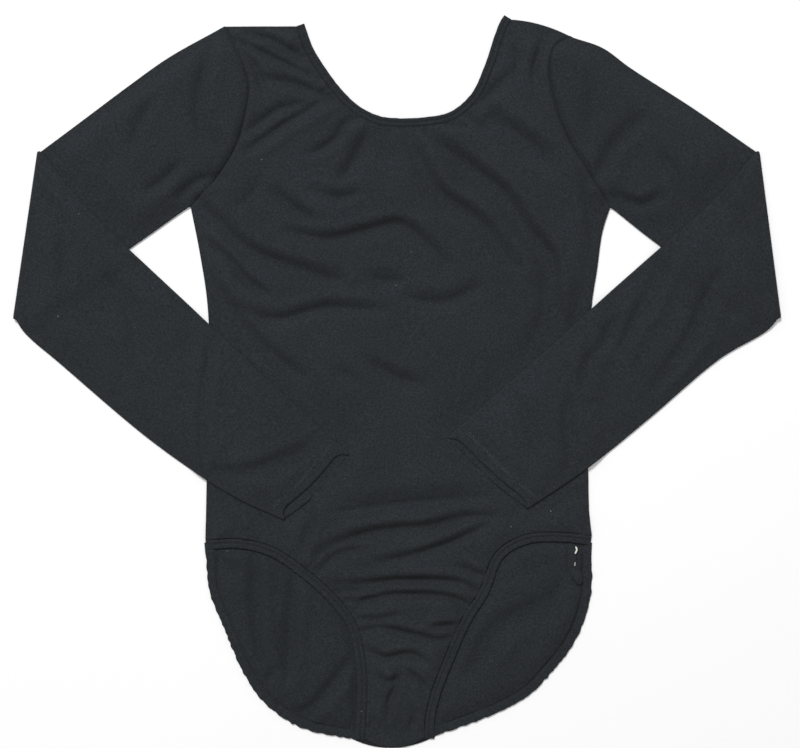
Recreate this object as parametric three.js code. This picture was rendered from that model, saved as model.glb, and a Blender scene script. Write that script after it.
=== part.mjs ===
// A long-sleeved dance leotard in cotton jersey, laid flat and front up, each sleeve folded back at the
// elbow.
// Millimetres. +X runs across the garment as seen, +Y towards the neck, +Z up from the surface it lies on.
// Left and right are as seen from above.
import * as THREE from "three";

// Cloth, seams and bands
const CLOTH = 1.2; // wall of one layer of jersey
const SEAM = 0.3; // space between pieces at a seam, and between layers
const NECK_BAND = 8; // width of the elastic neck binding
const LEG_BAND = 9; // width of the elastic leg casing
const BAND_WALL = 2; // folded cloth with the elastic in it
const HEM = 15; // turned hem at each cuff
const HEM_EXTRA = 0.4; // what the turned hem adds to the wall
const BACK_NECK_DROP = 3; // the back neckline stays hidden behind the front one by this much

// Heights of the layers
const FRONT_BASE = CLOTH + SEAM; // underside of the front and of a sleeve's upper layer
const FRONT_TOP = FRONT_BASE + CLOTH;
const FOLD_HEIGHT = FRONT_TOP + SEAM / 2; // height of the line that a sleeve is folded about

// How full the cloth lies
const LOFT = 4; // the front stands this much above its seams away from the edges
const LOFT_RUN = 42; // distance from an edge over which it rises
const FOREARM_LOFT = 2.6;
const PRESSED = { front: 16, sleeve: 28 }; // cloth this near a forearm that lies on it is pressed flat
const PRESSED_RUN = 24;
const BRIDGE = 24; // a forearm stays up this far past the edge it lies over
const BRIDGE_RUN = 24; // and comes down to the surface over this distance
const LOFT_FOR_FOLDS = 0.6; // share of the full loft at which folds reach their whole depth
const GATHER = 0.35; // height of the ruffles in the elastic bands
const BAND_ROUND = { inner: 1, outer: 1.2, under: 0.8 }; // corners of a band's section
const EDGE_ROUND = 1.2; // roundness of a sleeve's folded edges
const CUFF_RUN = 0.15; // share of the forearm over which its layers part at the cuff
const CENTRE_SPLIT = 0.555; // share of the centre line above the leg opening's corner
const CROTCH_ROUND = -2.5; // bow of the crotch seam between the leg openings
const CROTCH_POWER = 6; // how close to the seam that bow keeps
const SHOULDER_POWER = 4; // how close to the shoulder seam its rise keeps

// A fold's profile, in its own widths
const RIDGE_AT = 1.7; // the ridge beside the trough
const RIDGE_REACH = 2.6; // where the ridge has faded out
const FOLD_END = 0.06; // share of the length in which a fold fades at each end

// How finely the cloth is divided
const ACROSS = 11; // columns in each half of the front
const BACK_ACROSS = 6;
const SLEEVE_ACROSS = 7; // columns in each layer of a sleeve
// Rows from shoulder to underarm, from there to the leg opening's corner, and on to the crotch
const FRONT_ROWS = { neck: 2 * SLEEVE_ACROSS, side: 17, leg: 12 };
const BACK_ROWS = { neck: SLEEVE_ACROSS, side: 7, leg: 12 };
const UPPER_STATIONS = 8;
const TURN_STATIONS = 4;
const FOREARM_STATIONS = 15;
const NECK_RUFFLE = 2; // band stations for each row of the panel beside it
const LEG_RUFFLE = 4;

// Outlines, each row x, y, of the edge where the finished garment ends
const NECK_LEFT = [
  [-84, 324], [-76, 302], [-63, 281], [-50, 264], [-34, 249], [-15, 240], [3, 238],
];
const NECK_RIGHT = [
  [97, 331.6], [93, 325], [88, 312], [79, 285], [67, 260], [48, 244], [24, 239], [3, 238],
];
const CENTRE = [
  [3, 238], [2, 60], [0, -110], [-2, -260], [-2, -331.5],
];
const LEFT = {
  side: -1,
  neck: NECK_LEFT,
  shoulderRise: 0,
  armhole: [
    [-157, 321], [-144, 296], [-135, 269], [-137, 247], [-147, 212], [-164, 185], [-187, 159],
  ],
  seam: [
    [-187, 159], [-179, 119], [-172, 74], [-170, 33], [-172, -71], [-173, -126],
  ],
  leg: [
    [-173, -152], [-142, -151], [-115, -158], [-88, -176], [-61, -200], [-44, -224], [-37, -256],
    [-36, -285], [-38, -323],
  ],
  backLeg: [
    [-173, -156], [-170, -189], [-156, -225], [-141, -260], [-122, -289], [-88, -313], [-40, -324],
  ],
  upperTop: [
    [-157, 321], [-207, 293], [-245, 266], [-281, 239], [-322.5, 208],
  ],
  upperUnder: [
    [-187, 159], [-241, 121], [-297, 85], [-344.6, 56],
  ],
  foreUpper: [
    [-322.5, 208], [-280, 157], [-251, 128], [-171, 53], [-117, 2], [-65, -46], [-43, -65],
  ],
  foreLower: [
    [-344.6, 56], [-336, 43], [-306, 17], [-226, -51], [-174, -88], [-142, -107], [-103, -125],
  ],
  cuffDrop: 3,
  cuffLens: 5,
};
const RIGHT = {
  side: 1,
  neck: NECK_RIGHT,
  shoulderRise: 3,
  armhole: [
    [157, 312], [143, 302], [139, 283], [146, 244], [158, 215], [173, 191], [193, 158],
  ],
  seam: [
    [193, 158], [186, 136], [181, 101], [176, 67], [173, -17], [173, -78], [174, -120],
  ],
  leg: [
    [175, -148], [148, -145], [118, -147], [96, -160], [83, -191], [66, -219], [53, -248], [39, -284],
    [34, -307], [34, -322],
  ],
  backLeg: [
    [176, -156], [176, -189], [169, -218], [157, -242], [141, -262], [121, -283], [93, -299],
    [57, -313], [37, -320],
  ],
  upperTop: [
    [157, 312], [186, 302], [211, 284], [267, 248], [325, 208],
  ],
  upperUnder: [
    [193, 158], [239, 122], [293, 88], [344.6, 57],
  ],
  foreUpper: [
    [325, 208], [289, 167], [239, 122], [177, 67], [130, 24], [73, -26], [46, -50],
  ],
  foreLower: [
    [344.6, 57], [335, 46], [293, 21], [229, -33], [185, -69], [147, -96], [118, -115],
  ],
  cuffDrop: 3,
  cuffLens: 5,
};

// Folds of the front and the upper arms. width and depth are of the trough, ridge is the share of the
// depth that stands up beside it, on the left of the path where positive and on the right where negative.
const FRONT_FOLDS = [
  { name: "left armhole pull", width: 11, depth: 2.2, ridge: 0.4,
    path: [[-148, 250], [-122, 235], [-96, 248], [-62, 258]] },
  { name: "left shoulder drape", width: 10, depth: 1.8, ridge: 0.3,
    path: [[-145, 309], [-114, 297], [-76, 277]] },
  { name: "left neck gather outer", width: 8, depth: 1.6, ridge: 0.4,
    path: [[-78, 208], [-56, 222], [-38, 238]] },
  { name: "left neck gather inner", width: 8, depth: 1.8, ridge: -0.3,
    path: [[-49, 185], [-35, 205], [-22, 230]] },
  { name: "centre neck gather", width: 10, depth: 2.6, ridge: 0.4,
    path: [[5, 231], [19, 201], [48, 153], [76, 140], [107, 102]] },
  { name: "long right drape", width: 12, depth: 3, ridge: -0.5,
    path: [[27, 231], [48, 209], [85, 189], [115, 156], [138, 118], [143, 83], [145, 48]] },
  { name: "right neck gather", width: 12, depth: 1.6, ridge: 0.3,
    path: [[76, 245], [103, 222], [132, 205]] },
  { name: "right shoulder pull", width: 9, depth: 1.6, ridge: 0.3,
    path: [[135, 312], [127, 293], [124, 268]] },
  { name: "right side crease", width: 9, depth: 1.8, ridge: 0.3,
    path: [[165, 190], [171, 160], [180, 122]] },
  { name: "left chest short", width: 10, depth: 1.8, ridge: 0.4,
    path: [[-109, 172], [-95, 158], [-74, 146]] },
  { name: "left chest level", width: 9, depth: 1.4, ridge: 0.3,
    path: [[-74, 172], [-54, 166], [-32, 171]] },
  { name: "chest drape", width: 12, depth: 2.4, ridge: 0.4,
    path: [[-95, 135], [-55, 128], [-9, 143], [23, 127], [44, 106]] },
  { name: "left side to middle", width: 12, depth: 2.6, ridge: 0.5,
    path: [[-177, 158], [-155, 130], [-110, 108], [-52, 90]] },
  { name: "left side lower", width: 10, depth: 1.8, ridge: 0.4,
    path: [[-171, 128], [-149, 109], [-116, 80]] },
  { name: "waist left sweep", width: 12, depth: 2.2, ridge: 0.4,
    path: [[-172, 92], [-155, 74], [-140, 43], [-122, 22], [-88, 5]] },
  { name: "waist level", width: 10, depth: 1.6, ridge: 0.3,
    path: [[-142, 67], [-110, 58], [-74, 67], [-42, 70], [-12, 64]] },
  { name: "waist centre", width: 10, depth: 1.6, ridge: 0.3,
    path: [[-22, 94], [0, 74], [39, 73], [72, 84]] },
  { name: "lower waist", width: 10, depth: 1.4, ridge: 0.3, path: [[-24, 18], [-4, 5], [20, -3]] },
  { name: "hip hollow", width: 14, depth: 1.8, ridge: 0.3, path: [[-59, -118], [3, -109], [91, -103]] },
  { name: "hip drape", width: 11, depth: 2.4, ridge: 0.4,
    path: [[-72, -160], [-40, -142], [3, -132], [48, -127], [88, -119]] },
  { name: "hip second", width: 9, depth: 1.6, ridge: 0.3,
    path: [[-16, -163], [15, -158], [48, -145], [84, -129]] },
  { name: "crotch upper gather", width: 8, depth: 1.8, ridge: 0.4,
    path: [[-50, -184], [3, -180], [53, -182], [74, -192]] },
  { name: "crotch second gather", width: 8, depth: 1.6, ridge: 0.4,
    path: [[-42, -199], [0, -194], [44, -195], [66, -202]] },
  { name: "crotch third gather", width: 8, depth: 1.4, ridge: 0.4,
    path: [[-30, -226], [3, -225], [26, -233], [48, -233]] },
  { name: "crotch lower gather", width: 8, depth: 1.2, ridge: 0.4,
    path: [[-24, -244], [8, -247], [26, -255]] },
  { name: "left hip to cuff", width: 10, depth: 1.8, ridge: 0.4,
    path: [[-170, -94], [-148, -108], [-122, -130], [-104, -146]] },
  { name: "right hip pull", width: 10, depth: 1.4, ridge: 0.3,
    path: [[94, -94], [108, -110], [146, -105], [173, -100]] },
  { name: "left armhole seam", width: 6, depth: 1.4, ridge: 0,
    path: [[-155, 318], [-144, 296], [-135, 269], [-137, 247], [-147, 212], [-164, 185], [-184, 162]] },
  { name: "right armhole seam", width: 6, depth: 1.4, ridge: 0,
    path: [[155, 310], [143, 302], [139, 283], [146, 244], [158, 215], [173, 191], [190, 161]] },
  { name: "left underarm pull", width: 11, depth: 1.8, ridge: 0.4,
    path: [[-160, 183], [-180, 181], [-198, 166]] },
  { name: "left sleeve head", width: 12, depth: 1.6, ridge: 0.3,
    path: [[-170, 296], [-180, 258], [-176, 226], [-165, 212]] },
  { name: "left upper arm", width: 11, depth: 1.6, ridge: 0.3,
    path: [[-197, 196], [-212, 184], [-226, 172]] },
  { name: "right upper arm", width: 12, depth: 1.8, ridge: 0.3,
    path: [[217, 240], [198, 214], [182, 184]] },
  { name: "right sleeve head", width: 11, depth: 1.4, ridge: 0.3,
    path: [[171, 282], [174, 246], [171, 214]] },
  { name: "right underarm", width: 10, depth: 1.6, ridge: 0.3,
    path: [[203, 165], [222, 159], [240, 168]] },
];
const FOREARM_FOLDS = [
  { name: "left elbow", width: 13, depth: 1.4, ridge: 0.4, path: [[-316, 168], [-296, 130], [-300, 92]] },
  { name: "left over the side seam", width: 11, depth: 1.2, ridge: 0.3,
    path: [[-168, 35], [-170, -10], [-174, -66]] },
  { name: "left cuff level", width: 11, depth: 1.6, ridge: 0.4,
    path: [[-168, -87], [-132, -83], [-95, -70], [-66, -54]] },
  { name: "right elbow", width: 12, depth: 1.6, ridge: 0.4,
    path: [[248, 126], [240, 96], [220, 68], [196, 38]] },
  { name: "right elbow outer", width: 12, depth: 1.4, ridge: 0.4,
    path: [[275, 80], [265, 46], [250, 16]] },
  { name: "right over the side seam", width: 11, depth: 1.2, ridge: 0.3,
    path: [[176, 30], [170, -10], [158, -45]] },
];

// Small helpers
const mix = (a, b, t) => a + (b - a) * t;
const clamp = (t) => Math.min(Math.max(t, 0), 1);
const smooth = (t) => {
  const c = clamp(t);
  return c * c * (3 - 2 * c);
};
const bow = (t) => 4 * t * (1 - t); // 1 in the middle and 0 at both ends
const point = (x, y) => new THREE.Vector3(x, y, 0);

// A smooth curve through the rows of an outline table.
const curveThrough = (rows) =>
  new THREE.CatmullRomCurve3(rows.map(([x, y]) => point(x, y)), false, "centripetal");

// Points of a curve at equal steps of its length, with the unit normal on the given side of its run
// (+1 on the left of the run, -1 on the right).
function nodesOn(rows, steps, side) {
  const curve = curveThrough(rows);
  return Array.from({ length: steps + 1 }, (_, i) => {
    const at = curve.getPointAt(i / steps);
    const run = curve.getTangentAt(i / steps);
    return { at, out: point(-run.y * side, run.x * side) };
  });
}

// The same nodes moved along their normals by a distance, negative into the cloth.
const moved = (nodes, distance) =>
  nodes.map(({ at, out }) => ({ at: at.clone().addScaledVector(out, distance), out }));

// Distance from a closed outline, positive inside it.
function depthInside(outline, x, y) {
  let nearest = Infinity;
  let inside = false;
  outline.forEach((a, i) => {
    const b = outline[(i + 1) % outline.length];
    const dx = b.x - a.x;
    const dy = b.y - a.y;
    const t = clamp(((x - a.x) * dx + (y - a.y) * dy) / (dx * dx + dy * dy || 1));
    nearest = Math.min(nearest, Math.hypot(x - a.x - t * dx, y - a.y - t * dy));
    if (a.y > y !== b.y > y && x < a.x + ((y - a.y) * dx) / dy) inside = !inside;
  });
  return inside ? nearest : -nearest;
}

// A fold's profile at a place: a soft trough with a lower ridge beside it, both fading at the fold's ends.
const FOLD_STEPS = 14;
const foldLine = (fold) => ({ ...fold, line: curveThrough(fold.path).getPoints(FOLD_STEPS) });
function foldHeight(fold, x, y) {
  let nearest = Infinity;
  let beside = 0;
  let along = 0;
  for (let i = 0; i < FOLD_STEPS; i += 1) {
    const a = fold.line[i];
    const b = fold.line[i + 1];
    const dx = b.x - a.x;
    const dy = b.y - a.y;
    const t = clamp(((x - a.x) * dx + (y - a.y) * dy) / (dx * dx + dy * dy));
    const px = x - a.x - t * dx;
    const py = y - a.y - t * dy;
    const distance = Math.hypot(px, py);
    if (distance < nearest) {
      nearest = distance;
      beside = Math.sign(dx * py - dy * px) * distance;
      along = (i + t) / FOLD_STEPS;
    }
  }
  const ends = Math.sqrt(Math.sin(Math.PI * mix(FOLD_END, 1 - FOLD_END, along)));
  const trough = Math.exp(-((nearest / fold.width) ** 2));
  const ridgeAt = Math.sign(fold.ridge) * RIDGE_AT * fold.width;
  const ridge = Math.exp(-(((beside - ridgeAt) / fold.width) ** 2)) * (1 - trough);
  const reach = Math.exp(-((nearest / (RIDGE_REACH * fold.width)) ** 4));
  return fold.depth * ends * (Math.abs(fold.ridge) * ridge * reach - trough);
}
const frontFolds = FRONT_FOLDS.map(foldLine);
const forearmFolds = FOREARM_FOLDS.map(foldLine);
const sumOf = (folds, x, y) => folds.reduce((sum, fold) => sum + foldHeight(fold, x, y), 0);

// Outlines of the front layer with its upper arms, and of each forearm
const outlineOf = (...runs) => runs.flatMap((rows) => curveThrough(rows).getPoints(3 * rows.length));
const reversed = (rows) => [...rows].reverse();
const frontOutline = outlineOf(
  NECK_LEFT.slice(0, 1).concat(LEFT.upperTop),
  reversed(LEFT.upperUnder),
  LEFT.seam,
  LEFT.leg,
  reversed(RIGHT.leg),
  reversed(RIGHT.seam),
  RIGHT.upperUnder,
  reversed(RIGHT.upperTop).concat(NECK_RIGHT.slice(0, 1)),
  NECK_RIGHT,
  reversed(NECK_LEFT),
);
const forearmOutlines = [LEFT, RIGHT].map((half) =>
  outlineOf(half.foreUpper, reversed(half.foreLower)),
);

// Height that the front and the upper arms stand above their seams, pressed flat within a margin of a
// forearm.
function frontRelief(x, y, margin) {
  const loft = LOFT * smooth(depthInside(frontOutline, x, y) / LOFT_RUN);
  const gap = Math.min(...forearmOutlines.map((outline) => -depthInside(outline, x, y)));
  const free = smooth((gap - margin) / PRESSED_RUN);
  const wanted = loft + sumOf(frontFolds, x, y) * smooth(loft / (LOFT_FOR_FOLDS * LOFT));
  return Math.max(wanted, 0) * free;
}

// Height of what a forearm lies on, compared with the front: it comes down past the garment's edge.
const support = (x, y) =>
  -(FRONT_TOP + SEAM) * smooth((-depthInside(frontOutline, x, y) - BRIDGE) / BRIDGE_RUN);

function forearmRelief(outline, x, y) {
  const loft = FOREARM_LOFT * smooth(depthInside(outline, x, y) / LOFT_RUN);
  return Math.max(loft + sumOf(forearmFolds, x, y) * smooth(loft / FOREARM_LOFT), 0);
}

// A face seen from its other side, split along the same diagonal.
const flipped = ([first, ...rest]) => [first, ...rest.reverse()];

// Makes a closed body from its corners and four-cornered faces, each seen anticlockwise from outside.
function body(name, corners, faces, material) {
  const geometry = new THREE.BufferGeometry();
  const positions = corners.flatMap((corner) => corner.toArray());
  const triangles = faces.flatMap(([a, b, c, d]) => (d === undefined ? [a, b, c] : [a, b, c, a, c, d]));
  geometry.setAttribute("position", new THREE.Float32BufferAttribute(positions, 3));
  geometry.setIndex(triangles);
  geometry.computeVertexNormals();
  const mesh = new THREE.Mesh(geometry, material);
  mesh.name = name;
  return mesh;
}

// A panel: its two halves as rows of plan points from the outer edge to the inner one, sharing the centre
// line below the neck, and turned into a closed wall between an underside and a top.
function panel(name, halves, across, base, relief, material) {
  const corners = [];
  const ids = new Map();
  const idOf = (x, y) => {
    const key = `${x.toFixed(4)} ${y.toFixed(4)}`;
    if (!ids.has(key)) {
      ids.set(key, corners.length);
      corners.push(point(x, y));
    }
    return ids.get(key);
  };
  const faces = [];
  halves.forEach(({ side, rows }) => {
    const grid = rows.map(({ outer, inner, rise }) =>
      Array.from({ length: across + 1 }, (_, i) => {
        const t = i / across;
        const p = i === across ? inner : outer.clone().lerp(inner, t);
        return idOf(p.x, p.y + rise * bow(t));
      }),
    );
    for (let r = 0; r + 1 < grid.length; r += 1) {
      for (let i = 0; i < across; i += 1) {
        const face = [grid[r][i], grid[r + 1][i], grid[r + 1][i + 1], grid[r][i + 1]];
        faces.push(side < 0 ? face : flipped(face));
      }
    }
  });
  const edges = new Set(faces.flatMap((f) => f.map((a, i) => `${a} ${f[(i + 1) % 4]}`)));
  const count = corners.length;
  const walls = [...edges].flatMap((edge) => {
    const [a, b] = edge.split(" ").map(Number);
    return edges.has(`${b} ${a}`) ? [] : [[a + count, b + count, b, a]];
  });
  const heights = corners.map(({ x, y }) => base + relief(x, y));
  const tops = corners.map(({ x, y }, i) => new THREE.Vector3(x, y, heights[i] + CLOTH));
  const undersides = corners.map(({ x, y }, i) => new THREE.Vector3(x, y, heights[i]));
  const underFaces = faces.map((f) => flipped(f.map((a) => a + count)));
  return body(name, [...tops, ...undersides], [...faces, ...underFaces, ...walls], material);
}

// A band along the edge of a panel: stations between the panel's own edge nodes, so the seam stays even,
// with a low six-sided section that rises and falls where the elastic gathers it.
function band(name, nodes, { gap, width, base, wall, ruffle, gather }, material) {
  const sections = [];
  for (let i = 0; i + 1 < nodes.length; i += 1) {
    for (let k = 0; k < ruffle; k += 1) {
      const t = k / ruffle;
      sections.push({
        at: nodes[i].at.clone().lerp(nodes[i + 1].at, t),
        out: nodes[i].out.clone().lerp(nodes[i + 1].out, t).normalize(),
      });
    }
  }
  sections.push(nodes[nodes.length - 1]);
  const corners = sections.flatMap(({ at, out }, i) => {
    const wave = gather * (i % 2 ? 1 : -1);
    const near = gap;
    const far = gap + width + wave;
    const high = base + wall + wave;
    return [
      [near, base],
      [far - BAND_ROUND.under, base],
      [far, base + 0.5 * wall],
      [far - BAND_ROUND.outer, high],
      [near + BAND_ROUND.inner, high],
      [near, base + 0.6 * wall],
    ].map(([reach, height]) => at.clone().addScaledVector(out, reach).setZ(height));
  });
  const ring = 6;
  const faces = [];
  for (let s = 0; s + 1 < sections.length; s += 1) {
    for (let i = 0; i < ring; i += 1) {
      const j = (i + 1) % ring;
      faces.push([s * ring + i, (s + 1) * ring + i, (s + 1) * ring + j, s * ring + j]);
    }
  }
  const last = (sections.length - 1) * ring;
  faces.push([0, 1, 2, 3], [0, 3, 4, 5]);
  faces.push([last + 3, last + 2, last + 1, last], [last + 5, last + 4, last + 3, last]);
  const run = sections[1].at.clone().sub(sections[0].at);
  const turned = run.x * sections[0].out.y - run.y * sections[0].out.x > 0;
  return body(name, corners, turned ? faces.map(flipped) : faces, material);
}

// A sleeve: a flattened tube from the armhole to the cuff. Each station is a line of plan points from the
// sleeve's top edge to its under edge, an angle about the fold line, and the height it rests at.
function sleeve(name, half, material) {
  const across = SLEEVE_ACROSS;
  const armhole = moved(nodesOn(half.armhole, across, half.side < 0 ? -1 : 1), SEAM);
  const foldEnds = [half.upperTop, half.upperUnder].map((rows) => point(...rows[rows.length - 1]));
  const outward = point(half.side * Math.abs(foldEnds[1].y - foldEnds[0].y), 0);
  outward.y = -(outward.x * (foldEnds[1].x - foldEnds[0].x)) / (foldEnds[1].y - foldEnds[0].y);
  outward.normalize();
  const foldLineAt = (u) => foldEnds[0].clone().lerp(foldEnds[1], u);
  const [top, under] = [half.upperTop, half.upperUnder].map(curveThrough);
  const [upper, lower] = [half.foreUpper, half.foreLower].map(curveThrough);
  const outline = forearmOutlines[half.side < 0 ? 0 : 1];

  const stations = [];
  for (let k = 0; k <= UPPER_STATIONS; k += 1) {
    const s = k / UPPER_STATIONS;
    const ends = [top.getPointAt(s), under.getPointAt(s)];
    const start = [armhole[0].at, armhole[across].at];
    stations.push({
      angle: -Math.PI / 2,
      relief: k < UPPER_STATIONS,
      at: (u) => {
        const node = armhole[Math.round(u * across)].at;
        const sweep = node.clone().sub(start[0].clone().lerp(start[1], u));
        const [from, to] = k ? ends : start;
        return from.clone().lerp(to, u).addScaledVector(sweep, (1 - s) ** 2);
      },
    });
  }
  for (let k = 1; k <= TURN_STATIONS; k += 1) {
    stations.push({ angle: Math.PI * (k / TURN_STATIONS - 0.5), relief: false, at: foldLineAt });
  }
  const foreLength = upper.getLength();
  for (let k = 1; k <= FOREARM_STATIONS; k += 1) {
    const s = k / FOREARM_STATIONS;
    const ends = [upper.getPointAt(s), lower.getPointAt(s)];
    const run = upper.getTangentAt(s);
    stations.push({
      angle: Math.PI / 2,
      relief: true,
      forearm: true,
      run,
      lens: half.cuffLens * smooth((s - 1 + CUFF_RUN) / CUFF_RUN),
      hem: (1 - s) * foreLength < HEM ? HEM_EXTRA : 0,
      at: (u) => ends[0].clone().lerp(ends[1], u).addScaledVector(run, half.cuffDrop * bow(u) * s * s),
    });
  }

  // One ring of a station: the layer nearer the fold line from top edge to under edge, then the other
  // back.
  const ringOf = (station, inner) => {
    const nearLayer = inner ? SEAM / 2 + CLOTH : SEAM / 2;
    const farLayer = inner ? SEAM / 2 + CLOTH + SEAM : SEAM / 2 + CLOTH + SEAM + CLOTH;
    const middle = (SEAM + 2 * CLOTH + SEAM) / 2;
    const inset = inner ? EDGE_ROUND + SEAM : EDGE_ROUND;
    const edgeInset = inner ? EDGE_ROUND : 0;
    const place = (u, layer, pull) => {
      const plan = station.at(u);
      const width = station.at(1).sub(station.at(0)).normalize();
      plan.addScaledVector(width, pull);
      const over = station.forearm ? layer > middle : layer < middle;
      if (station.forearm && over) plan.addScaledVector(station.run, -station.lens * bow(u));
      let height = FOLD_HEIGHT + layer * Math.sin(station.angle);
      if (station.forearm) height += support(plan.x, plan.y);
      if (station.relief && over) {
        height += station.forearm
          ? forearmRelief(outline, plan.x, plan.y)
          : frontRelief(plan.x, plan.y, PRESSED.sleeve);
      }
      if (station.hem && !inner && layer > middle) height += station.hem;
      plan.addScaledVector(outward, layer * Math.cos(station.angle));
      return plan.setZ(height);
    };
    const steps = Array.from({ length: across + 1 }, (_, i) => i);
    const pullAt = (i) => (i === 0 ? inset : i === across ? -inset : 0);
    return [
      ...steps.map((i) => place(i / across, nearLayer, pullAt(i))),
      place(1, middle, -edgeInset),
      ...reversed(steps).map((i) => place(i / across, farLayer, pullAt(i))),
      place(0, middle, edgeInset),
    ];
  };
  const outer = stations.flatMap((station) => ringOf(station, false));
  const inner = stations.flatMap((station) => ringOf(station, true));
  const ring = 2 * across + 4;
  const faces = [];
  for (let s = 0; s + 1 < stations.length; s += 1) {
    for (let i = 0; i < ring; i += 1) {
      const j = (i + 1) % ring;
      const face = [s * ring + i, s * ring + j, (s + 1) * ring + j, (s + 1) * ring + i];
      if (i > across + 1) face.push(face.shift()); // both layers are split along the same diagonal
      faces.push(face, flipped(face.map((a) => a + outer.length)));
    }
  }
  const last = (stations.length - 1) * ring;
  for (let i = 0; i < ring; i += 1) {
    const j = (i + 1) % ring;
    faces.push([j, i, i + outer.length, j + outer.length]);
    faces.push([last + i, last + j, last + j + outer.length, last + i + outer.length]);
  }
  const turned = half.side < 0 ? faces.map(flipped) : faces;
  return body(name, [...outer, ...inner], turned, material);
}

// Materials: black jersey, a little lighter on the napped wrong side
const cloth = (color, roughness) => new THREE.MeshStandardMaterial({ color, roughness, metalness: 0 });
const jersey = () => cloth(0x2c3033, 0.92);
const innerJersey = () => cloth(0x2f3437, 0.95);

// Rows of one half of a panel, from the shoulder seam to the crotch. Where the leg's edge leaves the side
// seam at a corner, the panel goes on beside the two ends of the leg casing.
function rowsOf(half, counts, neckNodes, legNodes, corner, centre) {
  const armhole = nodesOn(half.armhole, SLEEVE_ACROSS, 1).map(({ at }) => at);
  const armholeAt = (t) => {
    const k = Math.min(Math.floor(t * SLEEVE_ACROSS), SLEEVE_ACROSS - 1);
    return armhole[k].clone().lerp(armhole[k + 1], t * SLEEVE_ACROSS - k);
  };
  const past = (from, to) => {
    const run = to.at.clone().sub(from.at).normalize();
    return to.at.clone().addScaledVector(run, 2 * SEAM);
  };
  const seam = curveThrough([...half.seam, corner ?? legNodes[0].at.toArray().slice(0, 2)]);
  const rows = [];
  for (let r = 0; r <= counts.neck; r += 1) {
    const rise = half.shoulderRise * (1 - r / counts.neck) ** SHOULDER_POWER;
    const inner = r < counts.neck ? neckNodes[r].at : centre(0);
    rows.push({ outer: armholeAt(r / counts.neck), inner, rise });
  }
  for (let r = 1; r <= counts.side; r += 1) {
    const t = r / counts.side;
    rows.push({ outer: seam.getPointAt(t), inner: centre(CENTRE_SPLIT * t), rise: 0 });
  }
  const outers = legNodes.map(({ at }) => at);
  if (corner) {
    const last = counts.leg;
    outers[0] = past(legNodes[1], legNodes[0]);
    outers[last] = past(legNodes[last - 1], legNodes[last]);
    outers.push(outers[last].clone().addScaledVector(legNodes[last].out, LEG_BAND + SEAM));
  } else {
    outers.shift();
  }
  outers.forEach((outer, i) => {
    const t = (i + 1) / outers.length;
    rows.push({ outer, inner: centre(mix(CENTRE_SPLIT, 1, t)), rise: CROTCH_ROUND * t ** CROTCH_POWER });
  });
  return { side: half.side, rows };
}

// Edge nodes of one half, each panel edge lying inside the finished edge by the width of its band
const outOfNeck = (half) => (half.side < 0 ? 1 : -1);
const outOfLeg = (half) => (half.side < 0 ? -1 : 1);
const neckEdge = (half, steps, drop) =>
  moved(nodesOn(half.neck, steps, outOfNeck(half)), -(NECK_BAND + SEAM + drop));
const legEdge = (half, rows, steps) =>
  moved(nodesOn(rows, steps, outOfLeg(half)), -(LEG_BAND + SEAM));

const leotard = new THREE.Group();
const sides = [["left", LEFT], ["right", RIGHT]];

// A whole panel of two halves, and the bands along its edges
const centreCurve = (startY) => curveThrough([[CENTRE[0][0], startY], ...CENTRE.slice(1)]);
function addPanel(name, { across, counts, base, relief, drop, legOf, cornerOf, material }) {
  const necks = sides.map(([, half]) => neckEdge(half, counts.neck, drop));
  const legs = sides.map(([, half]) => legEdge(half, legOf(half), counts.leg));
  const centreLine = centreCurve(CENTRE[0][1] - NECK_BAND - SEAM - drop);
  const centre = (t) => centreLine.getPointAt(t);
  const halves = sides.map(([, half], i) =>
    rowsOf(half, counts, necks[i], legs[i], cornerOf(half), centre),
  );
  leotard.add(panel(name, halves, across, base, relief, material));
  return { necks, legs, middle: { at: centre(0), out: point(0, 1) } };
}
function addNeckBand(name, { necks, middle }, sizes) {
  const nodes = [...necks[0].slice(0, -1), middle, ...reversed(necks[1].slice(0, -1))];
  leotard.add(band(name, nodes, { gap: SEAM, width: NECK_BAND, ...sizes }, jersey()));
}
function addLegBands(prefix, { legs }, sizes) {
  sides.forEach(([side], i) => {
    const options = { gap: SEAM, width: LEG_BAND, ruffle: LEG_RUFFLE, gather: GATHER, ...sizes };
    leotard.add(band(`${prefix}_${side}`, legs[i], options, jersey()));
  });
}

// The front and its bands
const front = addPanel("front_panel", {
  across: ACROSS,
  counts: FRONT_ROWS,
  base: FRONT_BASE,
  relief: (x, y) => frontRelief(x, y, PRESSED.front),
  drop: 0,
  legOf: (half) => half.leg,
  cornerOf: () => undefined,
  material: jersey(),
});
addNeckBand("neck_band_front", front, {
  base: FRONT_BASE,
  wall: BAND_WALL,
  ruffle: NECK_RUFFLE,
  gather: GATHER,
});
addLegBands("leg_band_front", front, { base: FRONT_BASE, wall: BAND_WALL });

// The back and its bands, flat on the surface
const back = addPanel("back_panel", {
  across: BACK_ACROSS,
  counts: BACK_ROWS,
  base: 0,
  relief: () => 0,
  drop: BACK_NECK_DROP,
  legOf: (half) => half.backLeg,
  cornerOf: (half) => [half.backLeg[0][0], half.backLeg[0][1] + 1],
  material: innerJersey(),
});
addNeckBand("neck_band_back", back, { base: 0, wall: CLOTH, ruffle: 1, gather: 0 });
addLegBands("leg_band_back", back, { base: 0, wall: BAND_WALL });

// The sleeves
sides.forEach(([side, half]) => leotard.add(sleeve(`${side}_sleeve`, half, jersey())));

export default leotard;
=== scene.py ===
"""A long-sleeved black jersey leotard laid flat, front up, with its sleeves folded back over the front.

Tables are in millimetres: x across the garment as seen, y towards the neck, z up from the surface that it
lies on. Left and right are as seen from above. Meshes are made in metres.
"""

import math
from typing import NamedTuple

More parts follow.
